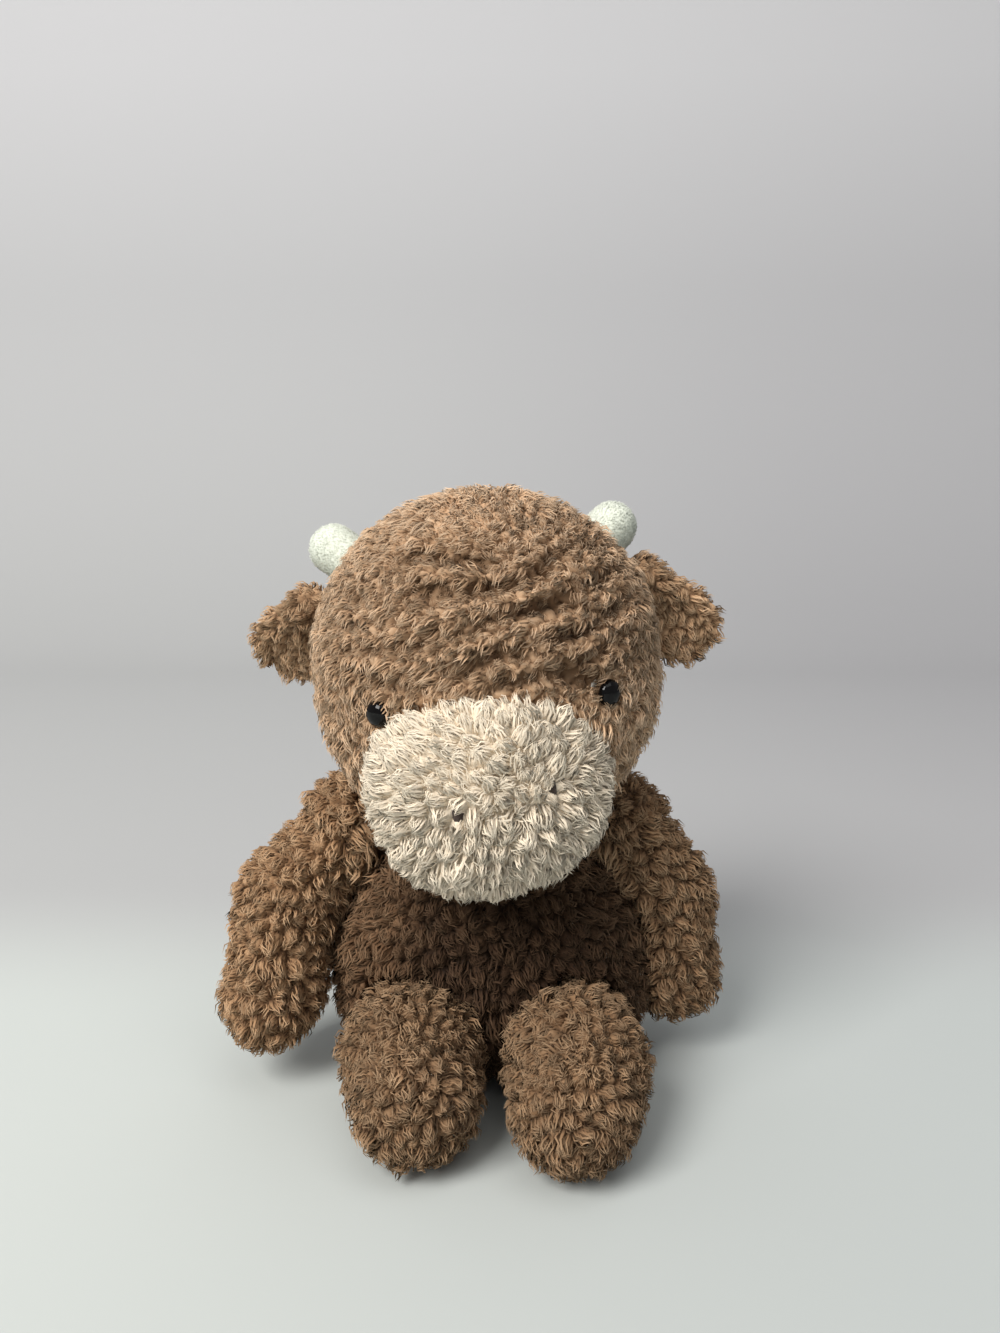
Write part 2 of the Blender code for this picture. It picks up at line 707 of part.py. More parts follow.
def ear_panel(side, name, facing_front):
    """Half of the leaf-shaped ear: one cupped panel of pile, flat where it meets the other."""
    out, across, front = ear_axes(side)
    root = ear_root(side)
    sign = 1 if facing_front else -1
    stations = []
    for row in range(1, EAR_ROOT_ROWS):
        angle = pi / 2 * row / EAR_ROOT_ROWS
        round_radius = EAR_ROOT_RADIUS * sin(angle)
        stations.append((-EAR_ROOT_RADIUS * cos(angle), round_radius, round_radius))
    for row in range(EAR_LEAF_ROWS):
        share = sin(pi / 2 * row / EAR_LEAF_ROWS)
        neck_share = EAR_NECK / EAR_LENGTH
        spread = smooth_step((share - neck_share) / (EAR_WIDEST_SHARE - neck_share))
        past = max(share - EAR_WIDEST_SHARE, 0) / (1 - EAR_WIDEST_SHARE)
        closing = sqrt(1 - past * past)
        half_width = mixed(EAR_ROOT_RADIUS, EAR_WIDTH / 2, spread) * closing
        half_thick = mixed(EAR_ROOT_RADIUS, EAR_THICKNESS / 2, spread) * closing
        stations.append((EAR_LENGTH * share, half_width, half_thick))
    rings = []
    for height, half_width, half_thick in stations:
        hollow = EAR_CUP * smooth_step(height / (EAR_LENGTH * EAR_WIDEST_SHARE))
        ring = []
        for index in range(2 * EAR_STEPS):
            angle = pi * index / EAR_STEPS
            on_skin = index <= EAR_STEPS
            width_share = cos(angle)
            lift = half_thick * sin(angle) if on_skin else 0
            bowl = hollow * width_share * width_share
            rise = bowl + sign * (SEAM_GAP / 2 + lift)
            ring.append(root + out * height + across * (half_width * width_share) + front * rise)
        rings.append(ring)
    seam = front * (sign * SEAM_GAP / 2)
    inner = root - out * EAR_ROOT_RADIUS + seam
    tip = root + out * EAR_LENGTH + seam
    return lofted(name, inner, rings, tip)


def horn(side, name, inset, sides, rows):
    """A round-ended stub that stands square on the head's skin, moved in by inset."""
    direction = seen_from_middle(SIDES[side] * HORN_SPREAD, HORN_RISE)
    place, normal = head_egg().at(direction)
    tip = place + normal * HORN_PROUD
    root = tip - normal * HORN_LENGTH
    radii = (HORN_ROOT_RADIUS, HORN_TIP_RADIUS)
    form = limb(name, root, tip, *radii, 0, NO_BOW, sides, rows)
    return moved_in(form, inset)


def horn_pieces(side):
    """The cover stays open where it is sewn to the head, and the plug stops short of it."""
    cover = horn(side, f"horn_{side}_cover", 0, LINING_SIDES, LINING_ROWS)
    room = horn(side, "room", SHORT_PILE_WALL, FILLING_SIDES, FILLING_ROWS)
    fill = SHORT_PILE_WALL + SEAM_GAP
    stuffing = horn(side, f"horn_{side}_stuffing", fill, FILLING_SIDES, FILLING_ROWS)
    for piece in (cover, stuffing):
        combined(piece, head_egg().solid("crown", -SEAM_GAP, COVER_SIDES, COVER_ROWS))
    return combined(cover, room), stuffing


def tail_end():
    return tail_root() + Vector((0, TAIL_REACH, -TAIL_DROP))


def tail_piece():
    """A narrow tube of pile that hangs down the back from a round root."""
    radii = (TAIL_ROOT_RADIUS - ROOT_STEP, TAIL_END_RADIUS)
    form = limb("tail", tail_root(), tail_end(), *radii, 0, NO_BOW, FILLING_SIDES, FILLING_ROWS)
    combined(form, body_egg().solid("back", -SEAM_GAP, COVER_SIDES, COVER_ROWS))
    root = ball("root", tail_root(), TAIL_ROOT_RADIUS, FILLING_SIDES, FILLING_ROWS)
    return combined(form, root, "UNION")


def tail_tuft():
    """The tassel of longer pile on the end of the tail."""
    middle = tail_end() - Vector((0, 0, TUFT_LENGTH / 2 - TAIL_END_RADIUS))
    middle.z = max(middle.z, TUFT_LENGTH / 2)
    half_size = (TUFT_RADIUS, TUFT_RADIUS, TUFT_LENGTH / 2)
    form = Egg(Matrix.Translation(middle), half_size, ROUND_FULLNESS)
    tuft = form.solid("tail_tuft", 0, FILLING_SIDES, FILLING_ROWS)
    radii = (TAIL_ROOT_RADIUS, TAIL_END_RADIUS)
    tube = limb("tube", tail_root(), tail_end(), *radii, 0, NO_BOW, FILLING_SIDES, FILLING_ROWS)
    combined(tuft, moved_in(tube, -SEAM_GAP))
    return combined(tuft, body_egg().solid("back", -SEAM_GAP, COVER_SIDES, COVER_ROWS))


def display_to_linear(value):
    share = value / 255
    return share / 12.92 if share <= 0.04045 else ((share + 0.055) / 1.055) ** 2.4


def material(name):
    made = bpy.data.materials.get(name)
    if made:
        return made
    made = bpy.data.materials.new(name)
    made.use_nodes = True
    shader = made.node_tree.nodes["Principled BSDF"]
    colour = [display_to_linear(value) for value in COLOURS[name]]
    shader.inputs["Base Color"].default_value = (*colour, 1)
    shader.inputs["Roughness"].default_value = PLASTICS.get(name, FABRIC_ROUGHNESS)
    shader.inputs["Metallic"].default_value = 0
    return made


def finished(piece, finish, pivot):
    """Gives a piece its material, smooth shading, and its own origin on its joint's axis."""
    cleaned(piece)
    piece.data.materials.clear()
    piece.data.materials.append(material(finish))
    piece.data.shade_smooth()
    piece.data.set_sharp_from_angle(angle=SMOOTH_ANGLE)
    piece.data.transform(Matrix.Translation(-pivot.location))
    piece.parent = pivot


def pivot_at(name, place):
    pivot = bpy.data.objects.new(name, None)
    pivot.location = place
    bpy.context.collection.objects.link(pivot)
    return pivot


def build_torso():
    pivot = pivot_at("torso_pivot", Vector((0, 0, 0)))
    cover, stuffing, beans = body_pieces()
    finished(cover, "body_pile", pivot)
    finished(stuffing, "stuffing", pivot)
    finished(beans, "pouch_cloth", pivot)


def build_head():
    pivot = pivot_at("head_pivot", neck_pivot())
    cover, stuffing = head_pieces()
    finished(cover, "head_pile", pivot)
    finished(stuffing, "stuffing", pivot)
    muzzle, muzzle_stuffing = muzzle_pieces()
    finished(muzzle, "muzzle_pile", pivot)
    finished(muzzle_stuffing, "stuffing", pivot)
    for side in SIDES:
        horn_cover, horn_stuffing = horn_pieces(side)
        finished(horn_cover, "horn_pile", pivot)
        finished(horn_stuffing, "stuffing", pivot)
        finished(eye(side), "eye_plastic", pivot)
        finished(eye_washer(side), "washer_plastic", pivot)
        finished(nostril(side), "nostril_thread", pivot)


def build_ear(side):
    pivot = pivot_at(f"ear_{side}_pivot", ear_root(side))
    finished(ear_panel(side, f"ear_{side}_front", True), "ear_pile", pivot)
    finished(ear_panel(side, f"ear_{side}_back", False), "ear_pile", pivot)


def build_limbs(side):
    arm_pivot = pivot_at(f"arm_{side}_pivot", shoulder(side))
    for piece, finish in zip(arm_pieces(side), ("limb_pile", "stuffing")):
        finished(piece, finish, arm_pivot)
    leg_pivot = pivot_at(f"leg_{side}_pivot", hip(side))
    for piece, finish in zip(leg_pieces(side), ("limb_pile", "stuffing")):
        finished(piece, finish, leg_pivot)


def build_tail():
    pivot = pivot_at("tail_pivot", tail_root())
    finished(tail_piece(), "body_pile", pivot)
    finished(tail_tuft(), "body_pile", pivot)


def main():
    for left_over in list(bpy.data.objects):
        bpy.data.objects.remove(left_over)
    build_torso()
    build_head()
    for side in SIDES:
        build_ear(side)
        build_limbs(side)
    build_tail()


if __name__ == "__main__":
    main()
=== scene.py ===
import json
import random
from math import copysign, cos, pi, radians, sin, sqrt

import bmesh
import bpy
import numpy as np
from mathutils import Matrix, Vector, noise
from mathutils.kdtree import KDTree

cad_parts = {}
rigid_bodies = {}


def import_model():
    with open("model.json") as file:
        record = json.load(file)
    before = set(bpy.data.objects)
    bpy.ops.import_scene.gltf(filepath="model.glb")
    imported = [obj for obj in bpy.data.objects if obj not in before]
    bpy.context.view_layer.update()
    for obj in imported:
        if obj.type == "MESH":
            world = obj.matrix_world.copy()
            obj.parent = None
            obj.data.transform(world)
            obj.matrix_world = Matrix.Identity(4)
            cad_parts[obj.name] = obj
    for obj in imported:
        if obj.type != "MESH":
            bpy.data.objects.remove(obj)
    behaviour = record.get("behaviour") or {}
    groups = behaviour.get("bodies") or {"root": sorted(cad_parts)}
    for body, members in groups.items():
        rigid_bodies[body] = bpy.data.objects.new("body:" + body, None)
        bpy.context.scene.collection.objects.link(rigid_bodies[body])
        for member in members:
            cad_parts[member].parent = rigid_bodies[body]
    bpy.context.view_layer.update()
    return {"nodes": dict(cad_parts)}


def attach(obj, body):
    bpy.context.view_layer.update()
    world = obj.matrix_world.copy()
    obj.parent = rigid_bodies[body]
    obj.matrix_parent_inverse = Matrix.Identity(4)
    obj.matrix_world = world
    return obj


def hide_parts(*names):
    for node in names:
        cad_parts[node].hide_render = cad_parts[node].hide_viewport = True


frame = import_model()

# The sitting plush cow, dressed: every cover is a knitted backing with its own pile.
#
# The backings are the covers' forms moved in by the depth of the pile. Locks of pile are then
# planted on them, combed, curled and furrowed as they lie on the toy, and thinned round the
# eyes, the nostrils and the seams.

# Sizes, in metres

SWING_GAP = 0.0005
PRESSED_DEPTH = 0.0005
OVERRUN = 0.02

BODY_WIDTH = 0.112
BODY_DEPTH = 0.074
BODY_WAIST_HEIGHT = 0.030
BODY_TOP_HEIGHT = 0.094
SEAT_FULLNESS = 2.5
CHEST_FULLNESS = 2.1
ROUND_FULLNESS = 2.0
NECK_RADIUS = 0.026
NECK_DROP = 0.018
NECK_BACK = 0.002

HEAD_WIDTH = 0.112
HEAD_DEPTH = 0.100
HEAD_CROWN = 0.054
HEAD_JAW = 0.053
HEAD_SIDE = -0.002
HEAD_FORWARD = 0.010
HEAD_RISE = 0.069
CROWN_FULLNESS = 2.0
JAW_FULLNESS = 2.6
HEAD_TURN = radians(3.7)
HEAD_ROLL = radians(-4.5)

MUZZLE_WIDTH = 0.073
MUZZLE_DEPTH = 0.052
MUZZLE_HEIGHT = 0.066
MUZZLE_SIDE = -0.003
MUZZLE_FORWARD = 0.034
MUZZLE_DROP = 0.032
MUZZLE_TURN = radians(8)
MUZZLE_ROLL = radians(-4)
MUZZLE_FULLNESS = 2.4

NOSTRIL_WIDTH = 0.0032
NOSTRIL_HEIGHT = 0.0072
NOSTRIL_DEPTH = 0.003
NOSTRIL_SPREAD = radians(31)
NOSTRIL_RISE = radians(-1)
NOSTRIL_CROWN = 0.0016
NOSTRIL_STITCHES = 17
THREAD_RADIUS = 0.00024

EYE_RADIUS = 0.0041
EYE_DOME = 0.0034
EYE_RIM = 0.0006
EYE_SINK = 0.0026
EYE_SPREAD = radians(42)
EYE_DROP = radians(9)
SHANK_RADIUS = 0.0013
SHANK_LENGTH = 0.0085
SHANK_RIDGE = 0.0003
SHANK_PITCH = 0.0011
SHANK_RIDGES = 4

EAR_ROOT_RADIUS = 0.0092
EAR_LENGTH = 0.036
EAR_WIDTH = 0.0315
EAR_NECK = 0.003
EAR_THICKNESS = 0.0125
EAR_CUP = 0.0045
EAR_WIDEST_SHARE = 0.5
EAR_SPREAD = radians(108)
EAR_RISE = radians(16)
EAR_DROOP = {"left": radians(49), "right": radians(43)}
EAR_SWEEP = {"left": radians(11), "right": radians(54)}
EAR_PROUD = 0.0081

HORN_ROOT_RADIUS = 0.0080
HORN_TIP_RADIUS = 0.0090
HORN_LENGTH = 0.017
HORN_PROUD = 0.0085
HORN_SPREAD = radians(112)
HORN_RISE = radians(36)

ARM_ROOT_RADIUS = 0.0174
ARM_PAW_RADIUS = 0.0178
ARM_SWELL = 0.001
ARM_BOW = {"left": 0.0055, "right": 0.0085}
SHOULDER_SPREAD = {"left": 0.0435, "right": 0.0490}
SHOULDER_DROP = 0.0082
PAW_SPREAD = {"left": 0.0638, "right": 0.0745}
PAW_FORWARD = {"left": -0.002, "right": 0.016}
PAW_HEIGHT = {"left": 0.0315, "right": 0.030}
ROOT_STEP = 0.001

LEG_ROOT_RADIUS = 0.020
LEG_FOOT_RADIUS = 0.0195
LEG_SWELL = 0.0034
HIP_SPREAD = 0.027
HIP_FORWARD = 0.029
HIP_HEIGHT = 0.0215
FOOT_SPREAD = {"left": 0.0245, "right": 0.0225}
FOOT_FORWARD = {"left": 0.0625, "right": 0.0585}

TAIL_ROOT_RADIUS = 0.0045
TAIL_END_RADIUS = 0.0034
TAIL_ROOT_HEIGHT = 0.034
TAIL_ROOT_PROUD = 0.0015
TAIL_REACH = 0.004
TAIL_DROP = 0.017
TUFT_RADIUS = 0.0058
TUFT_LENGTH = 0.017

SIDES = {"left": 1, "right": -1}
DOWN = np.array((0.0, 0.0, -1.0))
FORWARD = np.array((0.0, -1.0, 0.0))

# How deep the knitted backing lies under the tips of the pile
BACKING_DEPTH = 0.0018
EAR_BACKING_DEPTH = 0.0024
HORN_BACKING_DEPTH = 0.0009
TAIL_BACKING_DEPTH = 0.0013
SEAM_OVERLAP = 0.0003
# Where the toy sits: the backing is cut flat this high, and its pile is pressed, thin and short
FLAT_HEIGHT = 0.0012
FLOOR_GAP = 0.0003
PRESSED_HEIGHT = 0.006
PRESSED_COVER = 0.4
PRESSED_LENGTH = 0.7
# How far the pile is short round what is set into it
SHORT_PILE_REACH = 0.003

# How fine the forms are: points round a form, and rows of them from end to end
EGG_MESH = (72, 44)
HEAD_MESH = (80, 48)
NECK_MESH = (48, 28)
BALL_MESH = (40, 24)
FLANK_MESH = (64, 36)
LIMB_MESH = (56, 34)
HORN_MESH = (40, 22)
TAIL_MESH = (20, 14)
EAR_SIDES = 28
EAR_ROOT_ROWS = 6
EAR_LEAF_ROWS = 15
EYE_SIDES = 48
DOME_ROWS = 14
RIM_ROWS = 6

# How each pile lies

# Lengths in metres, the strands' in shares of their own length. A curl is a patch of pile whose
# strands lean together to one tip: so far apart, so high, thrown so far along the comb, gathered
# by a share, with a crease between and the backing raised under it by the lift. Its strands bend
# out from its middle by the share in round, and its tone differs by patchy.
PILE_NAMES = ("head", "muzzle", "body", "limb", "ear", "horn", "tail")
PILE_TABLE = {
    "spacing": (0.00130, 0.00100, 0.00138, 0.00133, 0.00132, 0.00060, 0.00110),
    "girth": (0.052, 0.054, 0.058, 0.058, 0.062, 0.080, 0.046),
    "spread": (0.24, 0.20, 0.26, 0.26, 0.24, 0.26, 0.20),
    "bow": (0.18, 0.20, 0.22, 0.22, 0.16, 0.10, 0.14),
    "hook": (0.20, 0.24, 0.26, 0.26, 0.18, 0.08, 0.16),
    "swirl": (0.50, 0.60, 0.60, 0.60, 0.45, 0.50, 0.35),
    "uneven": (0.18, 0.16, 0.18, 0.18, 0.16, 0.12, 0.16),
    "tone": (0.030, 0.030, 0.020, 0.035, 0.030, 0.030, 0.030),
    "patchy": (0.07, 0.10, 0.05, 0.08, 0.08, 0.10, 0.06),
    "round": (0.4, 0.5, 0.6, 0.6, 0.5, 0.3, 0.3),
    "curl": (0.0033, 0.0041, 0.0038, 0.0041, 0.0036, 0.0012, 0.0026),
    "height": (0.0021, 0.0024, 0.0023, 0.0023, 0.0019, 0.0007, 0.0018),
    "throw": (0.0026, 0.0023, 0.0020, 0.0021, 0.0023, 0.0007, 0.0042),
    "gather": (0.62, 0.74, 0.66, 0.66, 0.64, 0.25, 0.60),
    "crease": (0.0018, 0.0018, 0.0026, 0.0028, 0.0016, 0.0001, 0.0004),
    "lift": (0.0004, 0.0005, 0.0006, 0.0006, 0.0004, 0.0, 0.0),
}
PILES = {
    name: {measure: row[column] for measure, row in PILE_TABLE.items()}
    for column, name in enumerate(PILE_NAMES)
}

# A curl's border wanders in patches of a size, by a share, and its edge is so deep, all in curls
WANDER_SIZE = 2.2
WANDER = 0.7
CURL_EDGE = 0.75
STRANDS = 4
STRAND_STATIONS = (0.0, 0.52)
LOCK_KINDS = 8
LOCK_TILT = (-0.26, 0.20)
FURROW_SPACING = 0.0092
FURROW_SLOPE = 0.21
FURROW_WIDTH = 0.0021
FURROW_DEPTH = 0.0044
FURROW_SWELL = 0.0020
# The furrows are strongest here in the head's own axes, and fade this far away
STRONG_SIDE = 0.012
STRONG_RISE = 0.020
STRONG_WIDTH = 0.026
STRONG_HEIGHT = 0.024
BROW_ENDS = ((radians(20), radians(2)), (radians(38), radians(-5)))
BROW_WIDTH = 0.0026
BROW_FOLD = 1.2
BROW_COMB_WIDTH = 0.006
BROW_REACH = 0.008

# Places where the looks of the pile change: from where, and over how far. The head's are in its
# own axes, and FOREHEAD_FRONT and BODY_FRONT are in shares of a depth.
FOREHEAD_FRONT = (0.02, 0.3)
FOREHEAD_FOOT = (-0.010, 0.014)
FOREHEAD_TOP = (0.042, 0.010)
CROWN_LIGHT = (0.026, 0.024)
CHEEK_LIGHT_SIDE = (0.0, 0.05)
CHEEK_LIGHT_TOP = (-0.010, 0.02)
HEAD_FOOT = (0.030, 0.012)
HEAD_FOOT_SIDE = (0.012, 0.012)
HEAD_FOOT_BACK = (-0.020, 0.016)
BRIDGE_DROP = 0.004
BRIDGE_UNEVEN = 0.004
BRIDGE_FADE = 0.008
MUZZLE_MIDDLE = (0.0, 0.026)
EAR_HOLLOW_FRONT = (-0.001, 0.004)
EAR_HOLLOW_END = (0.0, 0.022)
BODY_FRONT = (-0.15, 0.7)
BODY_RIGHT = (0.020, 0.018)
CHEST = (0.05, 0.03)
NECK_FOOT = (0.070, 0.012)
SHOULDER_SIDE = (0.014, 0.010)
SHOULDER_TOP = (0.066, 0.010)
ARM_FLANK = (-0.012, 0.008)
ARM_TOP = (0.072, 0.010)
ARM_REACH = 0.010
WAIST = 0.040

# How far the pile laps over, or keeps from, what is set into it or joined to it
EYE_LAP = 0.0013
EAR_SEAM = 0.0004
HORN_LAP = 0.0008
NECK_SEAM = 0.0012
MUZZLE_LAP = 0.0004
SHOULDER_SEAM = 0.0009
HIP_SEAM = 0.0006
TAIL_SEAM = 0.0010
TAIL_SHORT_PILE = 0.004
NOSTRIL_CLEAR = (0.0024, 0.0056)

# Painted light and shade: the right arm's tone is raised, the left arm's and the legs' lowered, for how the
# light falls on them
ARM_LIGHT_AND_SHADE = {"left": -0.15, "right": 0.16}
LEG_SHADE = -0.24
PILE_SOFTNESS = 0.90
DEEP_TINTS = {
    "head_pile": (1.08, 0.95, 0.82),
    "ear_pile": (1.05, 0.97, 0.88),
    "body_pile": (1.14, 0.95, 0.86),
}

# Colours as they show on the toy, in 8-bit display values: root, middle and tip of the pile; the darker roots
# are painted shade deep in the pile
PILE_COLOURS = {
    "head_pile": ((124, 92, 65), (196, 162, 129), (222, 197, 169)),
    "ear_pile": ((120, 87, 61), (190, 155, 121), (215, 186, 154)),
    "limb_pile": ((82, 56, 37), (156, 122, 90), (192, 161, 128)),
    "body_pile": ((83, 55, 36), (156, 119, 87), (192, 158, 124)),
    "muzzle_pile": ((231, 215, 191), (240, 224, 201), (241, 229, 208)),
    "horn_pile": ((224, 229, 213), (230, 235, 221), (234, 238, 226)),
}
# How dark and how light the locks of a pile get, as shares of its colours at root, middle and tip; the dark
# ends also carry painted shade of creases, hollows and the chest, and the light ends painted light
PILE_SHADES = {
    "head_pile": ((0.22, 0.34, 0.46), (1.25, 1.42, 1.32)),
    "ear_pile": ((0.30, 0.46, 0.62), (1.25, 1.42, 1.34)),
    "limb_pile": ((0.30, 0.46, 0.62), (1.25, 1.42, 1.34)),
    "body_pile": ((0.06, 0.08, 0.12), (1.25, 1.42, 1.34)),
    "muzzle_pile": ((0.94, 0.96, 0.98), (1.03, 1.04, 1.02)),
    "horn_pile": ((0.80, 0.87, 0.92), (1.00, 1.05, 1.04)),
}


# Forms


def eased(shares):
    """From 0 to 1 with a soft start and finish, for one share or for many."""
    held = np.clip(shares, 0.0, 1.0)
    return held * held * (3 - 2 * held)


def rising(values, start, width):
    """0 as far as start, then softly up to 1 over a width."""
    return eased((values - start) / width)


def bump(distance, width):
    """1 at no distance, and almost nothing two widths away."""
    return np.exp(-((distance / width) ** 2))


def mixed(first, last, share):
    return first + (last - first) * share


def circle(sides):
    return [2 * pi * index / sides for index in range(sides)]


def ring_at(placing, radius, height, sides):
    """Points round the placing's Z."""
    return [placing @ Vector((radius * cos(angle), radius * sin(angle), height)) for angle in circle(sides)]


def placed(name, data):
    """A new object in the scene."""
    made = bpy.data.objects.new(name, data)
    bpy.context.collection.objects.link(made)
    return made


def object_of(name, builder):
    """A scene object from a finished bmesh, its faces turned outwards."""
    bmesh.ops.recalc_face_normals(builder, faces=builder.faces)
    mesh = bpy.data.meshes.new(name)
    builder.to_mesh(mesh)
    builder.free()
    return placed(name, mesh)


def lofted(name, first_pole, rings, last_pole):
    """A closed solid through rings of as many points each, with a point at both ends."""
    builder = bmesh.new()
    rows = [[builder.verts.new(point) for point in ring] for ring in rings]
    start = builder.verts.new(first_pole)
    finish = builder.verts.new(last_pole)
    count = len(rows[0])
    for index in range(count):
        after = (index + 1) % count
        builder.faces.new((start, rows[0][after], rows[0][index]))
        builder.faces.new((finish, rows[-1][index], rows[-1][after]))
        for low, high in zip(rows, rows[1:]):
            builder.faces.new((low[index], low[after], high[after], high[index]))
    return object_of(name, builder)


def turned(name, profile, sides, placing):
    """A solid of revolution about the placing's Z from (radius, height) points."""
    rings = [ring_at(placing, radius, height, sides) for radius, height in profile[1:-1]]
    first, last = [placing @ Vector((0, 0, profile[end][1])) for end in (0, -1)]
    return lofted(name, first, rings, last)


def baked(piece):
    """The piece with its modifiers made real."""
    graph = bpy.context.evaluated_depsgraph_get()
    shaped = bpy.data.meshes.new_from_object(piece.evaluated_get(graph))
    piece.modifiers.clear()
    plain = piece.data
    piece.data = shaped
    bpy.data.meshes.remove(plain)
    return piece


def combined(target, other, operation="DIFFERENCE"):
    """Cuts other out of target, or joins it on, and uses other up."""
    modifier = target.modifiers.new("seam", "BOOLEAN")
    modifier.operation = operation
    modifier.object = other
    baked(target)
    bpy.data.objects.remove(other)
    return target


def moved_in(form, inset):
    builder = bmesh.new()
    builder.from_mesh(form.data)
    builder.normal_update()
    for vertex in builder.verts:
        vertex.co -= vertex.normal * inset
    builder.to_mesh(form.data)
    builder.free()
    return form


class Egg:
    """A round form: half sizes along its own axes, with its own fullness above and below."""

    def __init__(self, placing, half_size, fullness_up, half_down=None, fullness_down=None):
        self.placing = placing
        self.half_x, self.half_y, self.half_up = half_size
        self.half_down = half_down or self.half_up
        self.fullness_up = fullness_up
        self.fullness_down = fullness_down or fullness_up

    def at(self, direction):
        """The skin's place and outward normal in a direction from the middle."""
        x_share = direction.x / self.half_x
        y_share = direction.y / self.half_y
        level = sqrt(x_share * x_share + y_share * y_share)
        half_z = self.half_up if direction.z >= 0 else self.half_down
        power = self.fullness_up if direction.z >= 0 else self.fullness_down
        z_share = abs(direction.z) / half_z
        place = direction * (level**power + z_share**power) ** (-1 / power)
        slope = level ** (power - 2) if level else 0.0
        normal = Vector((slope * x_share / self.half_x, slope * y_share / self.half_y, 0))
        normal.z = copysign(z_share ** (power - 1) / half_z, direction.z)
        return self.placing @ place, (self.placing.to_3x3() @ normal).normalized()

    def solid(self, name, inset, mesh_size):
        """The form as an object, with its skin moved in."""
        sides, rows = mesh_size
        rings = []
        for row in range(1, rows):
            tilt = pi * row / rows - pi / 2
            half_z = self.half_up if tilt >= 0 else self.half_down
            ring = []
            for angle in circle(sides):
                direction = Vector((self.half_x * cos(tilt) * cos(angle), 0, half_z * sin(tilt)))
                direction.y = self.half_y * cos(tilt) * sin(angle)
                place, normal = self.at(direction)
                ring.append(place - normal * inset)
            rings.append(ring)
        bottom = self.placing @ Vector((0, 0, inset - self.half_down))
        top = self.placing @ Vector((0, 0, self.half_up - inset))
        return lofted(name, bottom, rings, top)

    def depth(self, points):
        """About how deep each point lies under the skin; outside it is negative."""
        local = local_places(points, self.placing)
        level = np.hypot(local[:, 0] / self.half_x, local[:, 1] / self.half_y)
        above = local[:, 2] >= 0
        half_z = np.where(above, self.half_up, self.half_down)
        power = np.where(above, self.fullness_up, self.fullness_down)
        reach = (level**power + (np.abs(local[:, 2]) / half_z) ** power) ** (1 / power)
        return np.linalg.norm(local, axis=1) * (1 / np.maximum(reach, 0.001) - 1)


def ball(name, centre, radius, mesh_size):
    form = Egg(Matrix.Translation(centre), (radius, radius, radius), ROUND_FULLNESS)
    return form.solid(name, 0, mesh_size)


def facing(place, normal, up=Vector((0, 0, 1))):
    """A placing whose Z is the normal and whose Y points up the surface."""
    third = normal.normalized()
    first = up.cross(third).normalized()
    second = third.cross(first)
    placing = Matrix((first, second, third)).transposed().to_4x4()
    placing.translation = place
    return placing


def limb(name, start, end, radii, swell, bow, mesh_size):
    """A stuffed tube with round ends that swells, tapers and bows between them."""
    sides, rows = mesh_size
    axis = end - start
    length = axis.length
    placing = facing(start, axis, Vector((0, 1, 0)))
    caps = rows // 2
    cap_angles = [pi / 2 * row / caps for row in range(1, caps)]
    stations = [(-radii[0] * cos(angle), radii[0] * sin(angle)) for angle in cap_angles]
    for row in range(rows - caps + 1):
        share = row / (rows - caps)
        radius = mixed(*radii, eased(share))
        stations.append((length * share, radius + swell * sin(pi * share) ** 2))
    stations += [(length + radii[1] * sin(angle), radii[1] * cos(angle)) for angle in cap_angles]
    rings = []
    for height, radius in stations:
        bowed = bow * sin(pi * min(max(height / length, 0.0), 1.0)) ** 2
        rings.append([point + bowed for point in ring_at(placing, radius, height, sides)])
    first = placing @ Vector((0, 0, -radii[0]))
    last = placing @ Vector((0, 0, length + radii[1]))
    return lofted(name, first, rings, last)


def slab_below(height):
    reach = BODY_WIDTH + HEAD_WIDTH
    middle = Matrix.Translation((0, 0, height - OVERRUN / 2))
    builder = bmesh.new()
    bmesh.ops.create_cube(builder, size=1, matrix=middle @ Matrix.Diagonal((reach, reach, OVERRUN, 1)))
    return object_of("slab", builder)


def seen_from_middle(spread, rise):
    """A direction: so far round from the front towards +X, and so far up."""
    return Vector((sin(spread) * cos(rise), -cos(spread) * cos(rise), sin(rise)))


NECK_PIVOT = Vector((0, NECK_BACK, BODY_TOP_HEIGHT - NECK_DROP))
HEAD_PLACING = (
    Matrix.Translation(NECK_PIVOT + Vector((HEAD_SIDE, -HEAD_FORWARD, HEAD_RISE)))
    @ Matrix.Rotation(HEAD_TURN, 4, "Z")
    @ Matrix.Rotation(HEAD_ROLL, 4, "Y")
)
MUZZLE_PLACING = (
    HEAD_PLACING
    @ Matrix.Translation((MUZZLE_SIDE, -MUZZLE_FORWARD, -MUZZLE_DROP))
    @ Matrix.Rotation(MUZZLE_TURN, 4, "Z")
    @ Matrix.Rotation(MUZZLE_ROLL, 4, "Y")
)
HEAD = Egg(HEAD_PLACING, (HEAD_WIDTH / 2, HEAD_DEPTH / 2, HEAD_CROWN), CROWN_FULLNESS, HEAD_JAW, JAW_FULLNESS)
MUZZLE = Egg(MUZZLE_PLACING, (MUZZLE_WIDTH / 2, MUZZLE_DEPTH / 2, MUZZLE_HEIGHT / 2), MUZZLE_FULLNESS)
BODY = Egg(
    Matrix.Translation((0, 0, BODY_WAIST_HEIGHT)),
    (BODY_WIDTH / 2, BODY_DEPTH / 2, BODY_TOP_HEIGHT - BODY_WAIST_HEIGHT),
    CHEST_FULLNESS,
    BODY_WAIST_HEIGHT + PRESSED_DEPTH,
    SEAT_FULLNESS,
)
TAIL_ROOT = Vector((0, BODY_DEPTH / 2 + TAIL_ROOT_PROUD, TAIL_ROOT_HEIGHT))
TAIL_END = TAIL_ROOT + Vector((0, TAIL_REACH, -TAIL_DROP))


def shoulder(side):
    return Vector((SIDES[side] * SHOULDER_SPREAD[side], 0, BODY_TOP_HEIGHT - SHOULDER_DROP))


